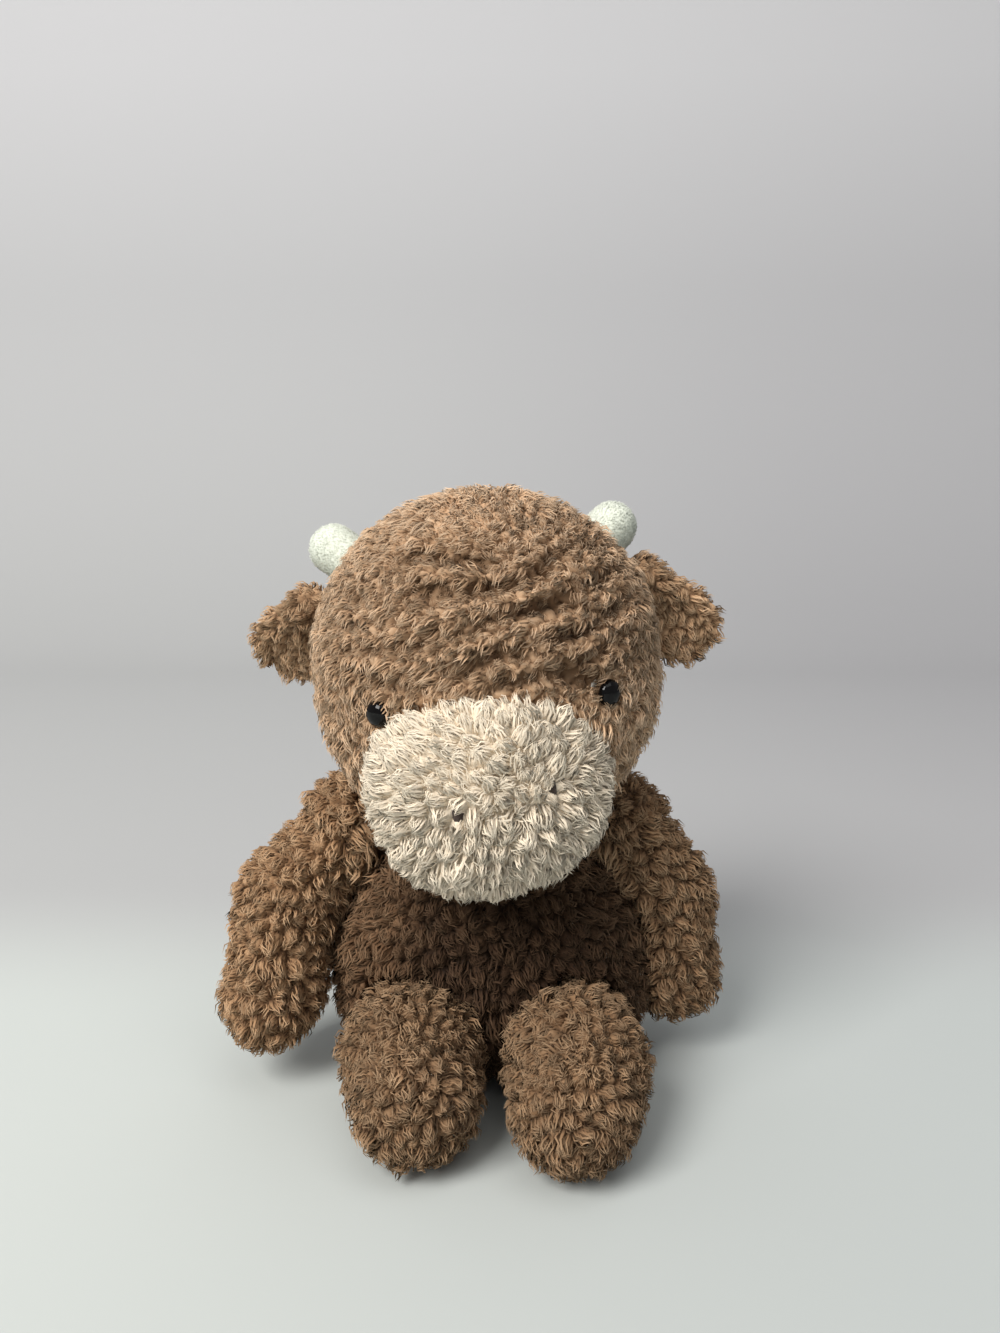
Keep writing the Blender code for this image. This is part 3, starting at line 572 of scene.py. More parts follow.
def paw(side):
    return Vector((SIDES[side] * PAW_SPREAD[side], -PAW_FORWARD[side], PAW_HEIGHT[side]))


def hip(side):
    return Vector((SIDES[side] * HIP_SPREAD, -HIP_FORWARD, HIP_HEIGHT))


def foot(side):
    height = LEG_FOOT_RADIUS - PRESSED_DEPTH
    return Vector((SIDES[side] * FOOT_SPREAD[side], -FOOT_FORWARD[side], height))


def ear_root(side):
    place, normal = HEAD.at(seen_from_middle(SIDES[side] * EAR_SPREAD, EAR_RISE))
    return place + normal * EAR_PROUD


def horn_foot(side):
    """Where the horn's middle leaves the head, and the way it points."""
    return HEAD.at(seen_from_middle(SIDES[side] * HORN_SPREAD, HORN_RISE))


def eye_placing(side):
    """Z points out of the head, and zero is the back of the eye's dome."""
    place, normal = HEAD.at(seen_from_middle(SIDES[side] * EYE_SPREAD, -EYE_DROP))
    return facing(place - normal * EYE_SINK, normal)


def nostril_placing(side):
    """Z points out of the muzzle, and zero is on the backing that the stitches lie on."""
    place, normal = MUZZLE.at(seen_from_middle(SIDES[side] * NOSTRIL_SPREAD, NOSTRIL_RISE))
    return facing(place - normal * NOSTRIL_DEPTH, normal)


def ear_axes(side):
    """The ear's own axes: out along it, across it, and out of its hollow front."""
    droop = EAR_DROOP[side]
    sweep = EAR_SWEEP[side]
    out = Vector((SIDES[side] * cos(droop) * cos(sweep), cos(droop) * sin(sweep), -sin(droop)))
    front = Vector((0, -1, 0))
    front = (front - out * front.dot(out)).normalized()
    return out, front.cross(out), front


# Knitted backings


def leg_backing(side, inset):
    foot_height = LEG_FOOT_RADIUS - PRESSED_DEPTH
    middle_radius = (LEG_ROOT_RADIUS + LEG_FOOT_RADIUS) / 2 + LEG_SWELL
    lift = middle_radius - PRESSED_DEPTH - (HIP_HEIGHT + foot_height) / 2
    radii = (LEG_ROOT_RADIUS, LEG_FOOT_RADIUS)
    form = limb("leg", hip(side), foot(side), radii, LEG_SWELL, Vector((0, 0, lift)), LIMB_MESH)
    return moved_in(form, inset)


def arm_backing(side, inset):
    radii = (ARM_ROOT_RADIUS - ROOT_STEP, ARM_PAW_RADIUS)
    along = paw(side) - shoulder(side)
    outwards = Vector((0, 1, 0)).cross(along).normalized() * -SIDES[side]
    form = limb("arm", shoulder(side), paw(side), radii, ARM_SWELL, outwards * ARM_BOW[side], LIMB_MESH)
    moved_in(form, inset)
    combined(form, BODY.solid("flank", -inset / 2, FLANK_MESH))
    return combined(form, ball("root", shoulder(side), ARM_ROOT_RADIUS - inset, BALL_MESH), "UNION")


def body_backing(inset):
    form = BODY.solid("body", inset, EGG_MESH)
    combined(form, ball("neck", NECK_PIVOT, NECK_RADIUS - inset, NECK_MESH), "UNION")
    reach = SWING_GAP + inset
    for side in SIDES:
        combined(form, leg_backing(side, -SWING_GAP - inset / 2))
        combined(form, ball("hollow", hip(side), LEG_ROOT_RADIUS + reach, BALL_MESH))
        combined(form, ball("hollow", shoulder(side), ARM_ROOT_RADIUS + reach, BALL_MESH))
    return combined(form, slab_below(FLAT_HEIGHT))


def head_backing(inset):
    form = HEAD.solid("head", inset, HEAD_MESH)
    return combined(form, ball("hollow", NECK_PIVOT, NECK_RADIUS + SWING_GAP + inset, NECK_MESH))


def muzzle_backing(inset):
    """The muzzle sinks a little below the head's backing, so that no gap shows at its seam."""
    form = MUZZLE.solid("muzzle", inset, EGG_MESH)
    return combined(form, HEAD.solid("face", inset * 0.8, EGG_MESH))


def ear_backing(side, inset):
    """Both panels of the cupped, leaf-shaped ear in one closed form."""
    out, across, front = ear_axes(side)
    root = ear_root(side)
    root_radius = EAR_ROOT_RADIUS - inset / 2
    reach = EAR_LENGTH - inset
    neck_share = EAR_NECK / EAR_LENGTH
    stations = []
    for row in range(1, EAR_ROOT_ROWS):
        angle = pi / 2 * row / EAR_ROOT_ROWS
        stations.append((-root_radius * cos(angle), root_radius * sin(angle), root_radius * sin(angle)))
    for row in range(EAR_LEAF_ROWS):
        share = sin(pi / 2 * row / EAR_LEAF_ROWS)
        spread = eased((share - neck_share) / (EAR_WIDEST_SHARE - neck_share))
        past = max(share - EAR_WIDEST_SHARE, 0) / (1 - EAR_WIDEST_SHARE)
        closing = sqrt(1 - past * past)
        wide, thick = [mixed(root_radius, size / 2 - inset, spread) for size in (EAR_WIDTH, EAR_THICKNESS)]
        stations.append((reach * share, wide * closing, thick * closing))
    rings = []
    for height, half_width, half_thick in stations:
        hollow = EAR_CUP * eased(height / (EAR_LENGTH * EAR_WIDEST_SHARE))
        ring = []
        for angle in circle(EAR_SIDES):
            width_share = cos(angle)
            rise = hollow * width_share * width_share + half_thick * sin(angle)
            ring.append(root + out * height + across * (half_width * width_share) + front * rise)
        rings.append(ring)
    return lofted("ear", root - out * root_radius, rings, root + out * reach)


def horn_backing(side, inset):
    """The horn's foot lies a little below the head's backing, so that no gap shows at its seam."""
    place, normal = horn_foot(side)
    tip = place + normal * HORN_PROUD
    root = tip - normal * HORN_LENGTH
    form = limb("horn", root, tip, (HORN_ROOT_RADIUS, HORN_TIP_RADIUS), 0, Vector(), HORN_MESH)
    moved_in(form, inset)
    return combined(form, HEAD.solid("crown", BACKING_DEPTH - SEAM_OVERLAP, EGG_MESH))


def tail_backing(inset):
    """A tube with a slim core at its end, which the tuft's pile is planted on."""
    radii = (TAIL_ROOT_RADIUS - inset, TAIL_END_RADIUS - inset / 2)
    form = limb("tail", TAIL_ROOT, TAIL_END, radii, 0, Vector(), TAIL_MESH)
    middle = TAIL_END - Vector((0, 0, TUFT_LENGTH / 2 - TAIL_END_RADIUS))
    middle.z = max(middle.z, TUFT_LENGTH / 2)
    half_size = (TUFT_RADIUS * 0.55, TUFT_RADIUS * 0.55, TUFT_LENGTH * 0.38)
    tassel = Egg(Matrix.Translation(middle + Vector((0, 0, 0.001))), half_size, ROUND_FULLNESS)
    return combined(form, tassel.solid("tassel", 0, TAIL_MESH), "UNION")


# Fields on a backing


def noise_at(points, size, seed):
    """Smooth noise from about -1 to 1 in lumps of a size; each seed has its own part of the noise."""
    shift = Vector((seed * 7.31, seed * 3.17, seed * 5.73))
    return np.array([noise.noise(Vector(point) / size + shift) for point in points]) * 1.6


def turns_at(points, size, seed):
    """Smooth noise of directions; it starts from the clock unless it is seeded."""
    noise.seed_set(seed)
    shift = Vector((seed * 5.11, seed * 8.37, seed * 2.93))
    return np.array([noise.noise_vector(Vector(point) / size + shift) for point in points])


def flattened(directions, normals):
    """The directions laid flat on the surface, of length one."""
    flat = directions - normals * (directions * normals).sum(1)[:, None]
    return flat / np.maximum(np.linalg.norm(flat, axis=1), 1e-9)[:, None]


def away_from(points, centre):
    """How far each point is from a place."""
    return np.linalg.norm(points - np.array(centre), axis=1)


def away_from_line(points, start, end):
    """How far each point is from a straight line between two places."""
    first = np.array(start)
    along = np.array(end) - first
    share = np.clip((points - first) @ along / (along @ along), 0, 1)
    return np.linalg.norm(points - first - share[:, None] * along, axis=1)


def local_places(points, placing):
    """The points as the placing's own axes have them."""
    back = np.array(placing.inverted())
    return points @ back[:3, :3].T + back[:3, 3]


def vectors_of(items, label):
    values = np.empty(len(items) * 3, np.float32)
    items.foreach_get(label, values)
    return values.reshape(-1, 3)


def places(mesh):
    return vectors_of(mesh.vertices, "co").astype(float)


def normals_of(mesh):
    return vectors_of(mesh.vertex_normals, "vector").astype(float)


def put_places(mesh, points):
    mesh.vertices.foreach_set("co", points.astype(np.float32).ravel())
    mesh.update()


def evened(form, grain, lump=0.0, lump_size=0.014, seed=1):
    """Even faces all over a form, its edges softened, with the soft lumps of its stuffing."""
    remesh = form.modifiers.new("even", "REMESH")
    remesh.mode = "VOXEL"
    remesh.voxel_size = grain
    baked(form)
    relax = form.modifiers.new("relax", "SMOOTH")
    relax.factor = 0.5
    relax.iterations = 3
    baked(form)
    if lump:
        mesh = form.data
        points = places(mesh)
        swelling = noise_at(points, lump_size, seed) * lump
        put_places(mesh, points + normals_of(mesh) * swelling[:, None])
    return form


def tree_of(points):
    tree = KDTree(len(points))
    for index, point in enumerate(points):
        tree.insert(point, index)
    tree.balance()
    return tree


class Lay:
    """How the pile lies on a backing: which way it is combed, how long, how dark, and where."""

    def __init__(self, backing, pile_name):
        self.backing = backing
        self.mesh = backing.data
        self.pile_name = pile_name
        self.pile = PILES[pile_name]
        self.points = places(self.mesh)
        self.normals = normals_of(self.mesh)
        count = len(self.points)
        self.comb_along(DOWN)
        self.length = np.ones(count)
        self.tone = np.full(count, 0.5)
        self.slant = np.ones(count)
        self.parting = np.ones(count)
        self.cover = np.ones(count)

    def comb_along(self, axis):
        self.comb = np.tile(np.array(axis), (len(self.points), 1))

    def turn(self, size, strength, seed):
        """Turns the comb this way and that in patches of a size."""
        self.comb = flattened(self.comb, self.normals)
        self.comb += turns_at(self.points, size, seed) * strength
        self.comb = flattened(self.comb, self.normals)

    def vary(self, size, length, tone, seed):
        """Makes the pile longer and lighter here, shorter and darker there, in patches of a size."""
        patches = noise_at(self.points, size, seed)
        self.length *= 1 + patches * length
        self.tone += patches * tone

    def clear_round(self, centre, inner, outer, least=0.0, shortest=0.55):
        """No pile within inner of a point, and short pile as far as outer."""
        away = away_from(self.points, centre)
        self.cover = np.where(away < inner, least, self.cover)
        self.length *= mixed(shortest, 1.0, rising(away, inner, outer - inner))

    def clear_where(self, hidden):
        self.cover = np.where(hidden, 0.0, self.cover)

    def thin_underneath(self):
        """What the toy sits on is pressed short and thin."""
        pressed = (self.normals[:, 2] < -0.6) & (self.points[:, 2] < PRESSED_HEIGHT)
        self.cover = np.where(pressed, self.cover * PRESSED_COVER, self.cover)
        self.length = np.where(pressed, self.length * PRESSED_LENGTH, self.length)

    def middles_of_curls(self, sorting, chance):
        """Points taken at random, none of them within a curl's size of an earlier one."""
        all_spots = tree_of(sorting)
        taken = np.zeros(len(sorting), bool)
        middles = []
        for index in chance.permutation(len(sorting)):
            if not taken[index]:
                middles.append(index)
                near = all_spots.find_range(sorting[index], self.pile["curl"])
                taken[[found[1] for found in near]] = True
        return np.array(middles)

    def sorted_into_curls(self, seed, chance, stretch, parted):
        """Each curl's middle, each point's curl, and 0 to 1 from a curl's edge to its inside."""
        curl = self.pile["curl"]
        sorting = self.points + turns_at(self.points, WANDER_SIZE * curl, seed) * (WANDER * curl)
        if stretch is not None:
            sorting = sorting @ np.array(stretch).T
        if parted is not None:
            sorting = sorting + np.outer(parted, (0, 0, 1))
        middles = self.middles_of_curls(sorting, chance)
        curls = tree_of(sorting[middles])
        nearest = [curls.find_n(point, 2) for point in sorting]
        owner = np.array([first[1] for first, _ in nearest])
        edge = np.array([second[2] - first[2] for first, second in nearest])
        return middles, owner, np.sin(pi / 2 * np.clip(edge / (CURL_EDGE * curl), 0, 1))

    def curl_up(self, seed, stretch=None, parted=None):
        """Sorts the pile into curls and presses creases into the backing between them.

        Curls never cross from one number in parted to another.
        """
        pile = self.pile
        chance = np.random.default_rng(seed)
        middles, owner, inside = self.sorted_into_curls(seed, chance, stretch, parted)
        total = len(middles)
        middle = middles[owner]
        # a strand is combed and bent partly on its own and partly with its curl's middle
        self.comb = flattened(self.comb * 0.35 + self.comb[middle] * 0.65, self.normals)
        outwards = (self.points - self.points[middle]) / (0.5 * pile["curl"])
        bend = outwards * pile["round"] - self.comb * (1 - pile["round"])
        self.bend = flattened(bend, self.normals)
        # its tip lies between its own place and the tip of the curl
        throw = (pile["throw"] * chance.uniform(0.6, 1.35, total))[owner] * self.length * self.slant
        height = (pile["height"] * chance.uniform(0.82, 1.18, total))[owner] * self.length
        lead = self.points[middle] + self.normals[middle] * (height * 1.1)[:, None]
        lead += self.comb[middle] * throw[:, None]
        own = self.points + self.normals * height[:, None] + self.comb * throw[:, None]
        strand = mixed(own, lead, pile["gather"]) - self.points
        # no strand dips below half its height
        upright = (strand * self.normals).sum(1)
        strand += self.normals * np.maximum(0.5 * height - upright, 0)[:, None]
        self.reach = np.linalg.norm(strand, axis=1)
        self.aim = strand / np.maximum(self.reach, 1e-6)[:, None]
        self.reach = np.minimum(self.reach * 1.1, 1.6 * (pile["height"] + pile["throw"]))
        # each curl's tone differs at random, and painted shade darkens the pile towards a curl's edge
        self.tone += (chance.uniform(-1, 1, total) * pile["patchy"])[owner] + 0.06 * (inside - 0.6)
        # the backing's colour carries painted shade: dark in the creases and lighter inside a curl
        self.root = 0.10 + 0.42 * inside
        raised = mixed(-pile["crease"] * self.parting, pile["lift"] * self.length, inside)
        put_places(self.mesh, self.points + self.normals * raised[:, None])

    def write(self):
        """Puts the fields on the backing, where the planting nodes read them."""
        fields = {
            "bend": self.bend,
            "aim": self.aim,
            "outwards": normals_of(self.mesh),
            "reach": self.reach,
            "tone": np.clip(self.tone, 0.02, 0.98),
            "cover": np.clip(self.cover, 0.0, 1.0),
            "along": self.root,
            "fleck": np.zeros(len(self.points)),
        }
        for name, field in fields.items():
            kind, label = ("FLOAT_VECTOR", "vector") if field.ndim == 2 else ("FLOAT", "value")
            attribute = self.mesh.attributes.new(name, kind, "POINT")
            attribute.data.foreach_set(label, field.astype(np.float32).ravel())


# Locks of pile


def lock_mesh(name, pile, seed):
    """One lock of unit length along Z: bowed strands that gather and hook towards their tips."""
    chance = random.Random(seed)
    builder = bmesh.new()
    along, fleck = [], []
    for number in range(STRANDS):
        turn = 2 * pi * (number + chance.uniform(-0.3, 0.3)) / STRANDS
        off = pile["spread"] * chance.uniform(0.5, 1.15)
        size = chance.uniform(0.80, 1.08)
        bow = pile["bow"] * chance.uniform(0.5, 1.4)
        sway = pile["hook"] * chance.uniform(-0.7, 0.7)
        hook = pile["hook"] * chance.uniform(-1, 1)
        girth = pile["girth"] * chance.uniform(0.8, 1.2)
        shade = chance.uniform(-1, 1) * pile["tone"]

        def centre(share):
            forward = bow * sin(pi * share) - 0.10 * share * share
            side = sway * sin(pi * share) + hook * share * share
            gather = 1 - 0.55 * share
            return Vector((forward + off * cos(turn) * gather, side + off * sin(turn) * gather, share * size))

        rings = []
        for share in STRAND_STATIONS:
            place = centre(share)
            ahead = (centre(share + 0.1) - place).normalized()
            first = ahead.cross(Vector((0.2, 1, 0.1))).normalized()
            second = ahead.cross(first)
            thick = girth * (1.1 - 0.35 * share)
            ring = []
            for corner, angle in enumerate(circle(3)):
                away = first * cos(angle + turn) + second * sin(angle + turn)
                ring.append(builder.verts.new(place + away * thick))
                along.append(share)
                fleck.append(shade + 0.02 * (corner - 1))
            rings.append(ring)
        tip = builder.verts.new(centre(1.0))
        along.append(1.0)
        fleck.append(shade)
        low, high = rings
        for corner in range(3):
            after = (corner + 1) % 3
            builder.faces.new((low[corner], low[after], high[after], high[corner]))
            builder.faces.new((high[corner], high[after], tip))
        builder.faces.new((low[2], low[1], low[0]))
    bmesh.ops.recalc_face_normals(builder, faces=builder.faces)
    mesh = bpy.data.meshes.new(name)
    builder.to_mesh(mesh)
    builder.free()
    for label, numbers in (("along", along), ("fleck", fleck)):
        attribute = mesh.attributes.new(label, "FLOAT", "POINT")
        attribute.data.foreach_set("value", numbers)
    return mesh


def locks_of(pile_name):
    """A collection of different locks for one kind of pile."""
    kept = bpy.data.collections.new(f"{pile_name}_locks")
    for number in range(LOCK_KINDS):
        mesh = lock_mesh(f"{pile_name}_lock_{number}", PILES[pile_name], 100 + number)
        kept.objects.link(bpy.data.objects.new(mesh.name, mesh))
    return kept


def give(tree, socket, value):
    """Sets a socket to a value, or links it to another node's output."""
    if isinstance(value, bpy.types.NodeSocket):
        tree.links.new(value, socket)
    else:
        socket.default_value = value


def linked(tree, kind, inputs, **settings):
    """The outputs of a new node with these settings and inputs."""
    node = tree.nodes.new(kind)
    for name, value in settings.items():
        setattr(node, name, value)
    for name, value in inputs.items():
        give(tree, node.inputs[name], value)
    return node.outputs


def figured(tree, operation, first, second=0.0):
    return linked(tree, "ShaderNodeMath", {0: first, 1: second}, operation=operation)[0]


def new_tree(name, inputs, output):
    """An empty tree of geometry nodes, and its own inputs as outputs for the nodes."""
    tree = bpy.data.node_groups.new(name, "GeometryNodeTree")
    for label, kind in inputs.items():
        tree.interface.new_socket(label, in_out="INPUT", socket_type=f"NodeSocket{kind}")
    tree.interface.new_socket(output, in_out="OUTPUT", socket_type="NodeSocketGeometry")
    return tree, tree.nodes.new("NodeGroupInput").outputs


def end_tree(tree, geometry, material):
    """Shades the tree's result smooth, gives it its material and hands it out."""
    smooth = linked(tree, "GeometryNodeSetShadeSmooth", {"Geometry": geometry})[0]
    finish = linked(tree, "GeometryNodeSetMaterial", {"Geometry": smooth, "Material": material})[0]
    linked(tree, "NodeGroupOutput", {0: finish})


def planting_tree():
    """Plants locks evenly on a backing, combed by its fields, and joins them to it."""
    kinds = {
        "Backing": "Geometry", "Locks": "Collection", "Spacing": "Float", "Swirl": "Float",
        "Unevenness": "Float", "Tone Spread": "Float", "Seed": "Int", "Pile": "Material",
    }
    tree, given = new_tree("pile_planting", kinds, "Covered")

    def field(name, data_type="FLOAT"):
        node = linked(tree, "GeometryNodeInputNamedAttribute", {"Name": name}, data_type=data_type)
        return node["Attribute"]

    def chance(low, high, number, data_type="FLOAT"):
        node = tree.nodes.new("FunctionNodeRandomValue")
        node.data_type = data_type
        for socket, value in zip([socket for socket in node.inputs if socket.enabled], (low, high)):
            give(tree, socket, value)
        give(tree, node.inputs["Seed"], figured(tree, "ADD", given["Seed"], number))
        return [socket for socket in node.outputs if socket.enabled][0]

    def around(middle, spread, number):
        """A chance within a spread to both sides of a middle."""
        return chance(*[figured(tree, way, middle, spread) for way in ("SUBTRACT", "ADD")], number)

    def aligned(axis, name, rotation=(0, 0, 0), pivot="AUTO"):
        inputs = {"Rotation": rotation, "Vector": field(name, "FLOAT_VECTOR")}
        return linked(tree, "FunctionNodeAlignRotationToVector", inputs, axis=axis, pivot_axis=pivot)[0]

    def turned_by(rotation, axis, angle):
        turn = linked(tree, "FunctionNodeAxisAngleToRotation", {"Axis": axis, "Angle": angle})[0]
        inputs = {"Rotation": rotation, "Rotate By": turn}
        return linked(tree, "FunctionNodeRotateRotation", inputs, rotation_space="LOCAL")[0]

    area = figured(tree, "MULTIPLY", given["Spacing"], given["Spacing"])
    spots = linked(
        tree,
        "GeometryNodeDistributePointsOnFaces",
        {
            "Mesh": given["Backing"],
            "Distance Min": given["Spacing"],
            "Density Max": figured(tree, "DIVIDE", 1.0, area),
            "Density Factor": field("cover"),
            "Seed": given["Seed"],
        },
        distribute_method="POISSON",
    )
    upright = aligned("Z", "aim")
    combed = aligned("X", "bend", upright, "Z")
    twisted = turned_by(combed, (0, 0, 1), around(0.0, given["Swirl"], 1))
    tilted = turned_by(twisted, (0, 1, 0), chance(*LOCK_TILT, 2))
    stored = spots["Points"]
    tone = figured(tree, "ADD", field("tone"), around(0.0, given["Tone Spread"], 3))
    for name, kind, value in (("outwards", "FLOAT_VECTOR", spots["Normal"]), ("tone", "FLOAT", tone)):
        stored = linked(
            tree,
            "GeometryNodeStoreNamedAttribute",
            {"Geometry": stored, "Name": name, "Value": value},
            data_type=kind,
            domain="POINT",
        )[0]
    locks = linked(
        tree,
        "GeometryNodeCollectionInfo",
        {"Collection": given["Locks"], "Separate Children": True, "Reset Children": True},
        transform_space="ORIGINAL",
    )[0]
    instances = {
        "Points": stored,
        "Instance": locks,
        "Pick Instance": True,
        "Instance Index": chance(0, LOCK_KINDS - 1, 5, "INT"),
        "Rotation": tilted,
        "Scale": figured(tree, "MULTIPLY", field("reach"), around(1.0, given["Unevenness"], 4)),
    }
    planted = linked(tree, "GeometryNodeInstanceOnPoints", instances)[0]
    grown = linked(tree, "GeometryNodeRealizeInstances", {"Geometry": planted})[0]
    joined = tree.nodes.new("GeometryNodeJoinGeometry")
    for part in (grown, given["Backing"]):
        tree.links.new(part, joined.inputs[0])
    end_tree(tree, joined.outputs[0], given["Pile"])
    return tree


def shaped_by(tree, piece, values):
    """The piece after a tree of nodes with these inputs, made real."""
    modifier = piece.modifiers.new("shaped", "NODES")
    modifier.node_group = tree
    for item in tree.interface.items_tree:
        if item.item_type == "SOCKET" and item.in_out == "INPUT" and item.name in values:
            modifier[item.identifier] = values[item.name]
    return baked(piece)


def finished(lay, name, seed, body, slot, *nodes, fill):
    """The backing with its pile, as one plain mesh that rides on its body."""
    pile = lay.pile
    lay.write()
    values = {
        "Locks": LOCKS[lay.pile_name],
        "Spacing": pile["spacing"],
        "Swirl": pile["swirl"],
        "Unevenness": pile["uneven"],
        "Tone Spread": pile["tone"],
        "Seed": seed,
        "Pile": FINISHES[slot],
    }
    piece = shaped_by(PLANTING, lay.backing, values)
    piece.name = name
    piece.data.name = name
    map_colours(piece.data)
    kept_off_floor(piece)
    return settled(piece, body, slot, *nodes, fill=fill)


def map_colours(mesh):
    """Across the map runs the tone of a lock, and up the map its length from root to tip."""
    read = {}
    for label in ("tone", "fleck", "along"):
        read[label] = np.empty(len(mesh.vertices), np.float32)
        mesh.attributes[label].data.foreach_get("value", read[label])
    owner = np.empty(len(mesh.loops), np.int32)
    mesh.loops.foreach_get("vertex_index", owner)
    across = np.clip(read["tone"] + read["fleck"], 0.01, 0.99)[owner]
    up = np.clip(read["along"], 0.01, 0.99)[owner]
    soft = vectors_of(mesh.attributes["outwards"].data, "vector") * PILE_SOFTNESS
    soft = soft + normals_of(mesh) * (1 - PILE_SOFTNESS)
    soft /= np.maximum(np.linalg.norm(soft, axis=1), 1e-6)[:, None]
    for label in ("tone", "fleck", "along", "reach", "cover", "bend", "aim", "outwards"):
        if label in mesh.attributes:
            mesh.attributes.remove(mesh.attributes[label])
    uv = mesh.uv_layers.new(name="OFBake")
    uv.data.foreach_set("uv", np.stack([across, up], 1).ravel())
    mesh.normals_split_custom_set_from_vertices(soft)


def kept_off_floor(piece):
    """Pile under the toy is pressed flat on what it sits on."""
    points = places(piece.data)
    if points[:, 2].min() < FLOOR_GAP:
        points[:, 2] = np.maximum(points[:, 2], FLOOR_GAP)
        put_places(piece.data, points)


# Finishes


def to_linear(value):
    share = value / 255
    return share / 12.92 if share <= 0.04045 else ((share + 0.055) / 1.055) ** 2.4


def linear(colour, light=1.0, tint=(1, 1, 1)):
    """A shader's colour from 8-bit display values, lightened and tinted."""
    return (*[min(to_linear(value) * light * share, 1.0) for value, share in zip(colour, tint)], 1)


def graded(tree, factor, stops):
    """A colour ramp with soft steps between (position, colour) stops."""
    node = tree.nodes.new("ShaderNodeValToRGB")
    tree.links.new(factor, node.inputs[0])
    ramp = node.color_ramp
    ramp.interpolation = "EASE"
    ramp.elements[0].position, ramp.elements[0].color = stops[0]
    ramp.elements[1].position, ramp.elements[1].color = stops[-1]
    for position, colour in stops[1:-1]:
        ramp.elements.new(position).color = colour
    return node.outputs[0]


def blended(tree, factor, first, second):
    """The colour between two colours, each one given as a value or as a node's output."""
    node = tree.nodes.new("ShaderNodeMix")
    node.data_type = "RGBA"
    tree.links.new(factor, node.inputs["Factor"])
    shown = [socket for socket in node.inputs if socket.type == "RGBA"]
    for socket, value in zip(shown, (first, second)):
        give(tree, socket, value)
    return [socket for socket in node.outputs if socket.type == "RGBA"][0]


def ranged(tree, value, low, high, **settings):
    """0 to 1 as a value goes from low to high."""
    inputs = {"Value": value, "From Min": low, "From Max": high}
    return linked(tree, "ShaderNodeMapRange", inputs, **settings)[0]


def new_finish(name):
    """A material, its tree of nodes, and the piece's own places in it."""
    finish = bpy.data.materials.new(name)
    finish.use_nodes = True
    return finish, finish.node_tree, finish.node_tree.nodes.new("ShaderNodeTexCoord").outputs["Object"]


def shaded(finish, values):
    """The material with its shader's inputs set or linked."""
    tree = finish.node_tree
    for label, value in values.items():
        give(tree, tree.nodes["Principled BSDF"].inputs[label], value)
    return finish


def dented(tree, height, strength):
    """Dents a tenth of a millimetre deep."""
    inputs = {"Height": height, "Strength": strength, "Distance": 0.0001}
    return linked(tree, "ShaderNodeBump", inputs)[0]


def pile_finish(name):
    """Pile that is dark at its root, as painted shade deep in the pile, and lighter at its tip, in lighter
    and darker locks.
    """
    finish = bpy.data.materials.new(name)
    finish.use_nodes = True
    tree = finish.node_tree
    colours = linked(tree, "ShaderNodeUVMap", {}, uv_map="OFBake")[0]
    parts = linked(tree, "ShaderNodeSeparateXYZ", {"Vector": colours})
    tints = (DEEP_TINTS.get(name, (1, 1, 1)), (1, 1, 1))
    ramps = []
    for shades, tint in zip(PILE_SHADES[name], tints):
        rows = zip((0.0, 0.35, 1.0), PILE_COLOURS[name], shades)
        stops = [(up, linear(colour, shade, tint)) for up, colour, shade in rows]
        ramps.append(graded(tree, parts["Y"], stops))
    values = {
        "Base Color": blended(tree, parts["X"], *ramps),
        "Roughness": 0.88,
        "Specular IOR Level": 0.25,
        "Sheen Weight": 0.25,
        "Sheen Roughness": 0.6,
        "Sheen Tint": linear(PILE_COLOURS[name][2]),
    }
    return shaded(finish, values)


def eye_finish():
    """Black moulded plastic, glossy, with a faint haze of handling."""
    finish, tree, place = new_finish("eye_black")
    haze = linked(tree, "ShaderNodeTexNoise", {"Vector": place, "Scale": 900.0, "Detail": 4.0})[0]
    rough = linked(tree, "ShaderNodeMapRange", {"Value": haze, "To Min": 0.04, "To Max": 0.12})[0]
    deep = graded(tree, haze, ((0.3, linear((6, 5, 5))), (0.7, linear((12, 10, 10)))))
    return shaded(finish, {"Base Color": deep, "Roughness": rough, "Specular IOR Level": 0.22})


def washer_finish():
    """Milky moulded plastic with a fine satin grain."""
    finish, tree, place = new_finish("washer_white")
    grain = linked(tree, "ShaderNodeTexNoise", {"Vector": place, "Scale": 1400.0, "Detail": 3.0})[0]
    milky = graded(tree, grain, ((0.3, linear((214, 214, 206))), (0.7, linear((232, 232, 226)))))
    return shaded(finish, {"Base Color": milky, "Normal": dented(tree, grain, 0.2), "Roughness": 0.42})


def thread_finish():
    """Dark brown stitching thread, with its twist as fine stripes."""
    finish, tree, place = new_finish("nostril_brown")
    slanted = linked(tree, "ShaderNodeMapping", {"Vector": place, "Rotation": (0.5, 0.9, 0.3)})[0]
    inputs = {"Vector": slanted, "Scale": 900.0, "Distortion": 2.0, "Detail": 2.0}
    twist = linked(tree, "ShaderNodeTexWave", inputs)[0]
    values = {
        "Base Color": graded(tree, twist, ((0.2, linear((38, 27, 22))), (0.8, linear((74, 56, 46))))),
        "Normal": dented(tree, twist, 0.35),
        "Roughness": 0.7,
        "Sheen Weight": 0.2,
    }
    return shaded(finish, values)


# The head


def settled(piece, body, slot, *nodes, fill=None):
    """Rides a finished piece on its body in place of its CAD nodes."""
    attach(piece, body)
    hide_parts(*nodes)
    return piece


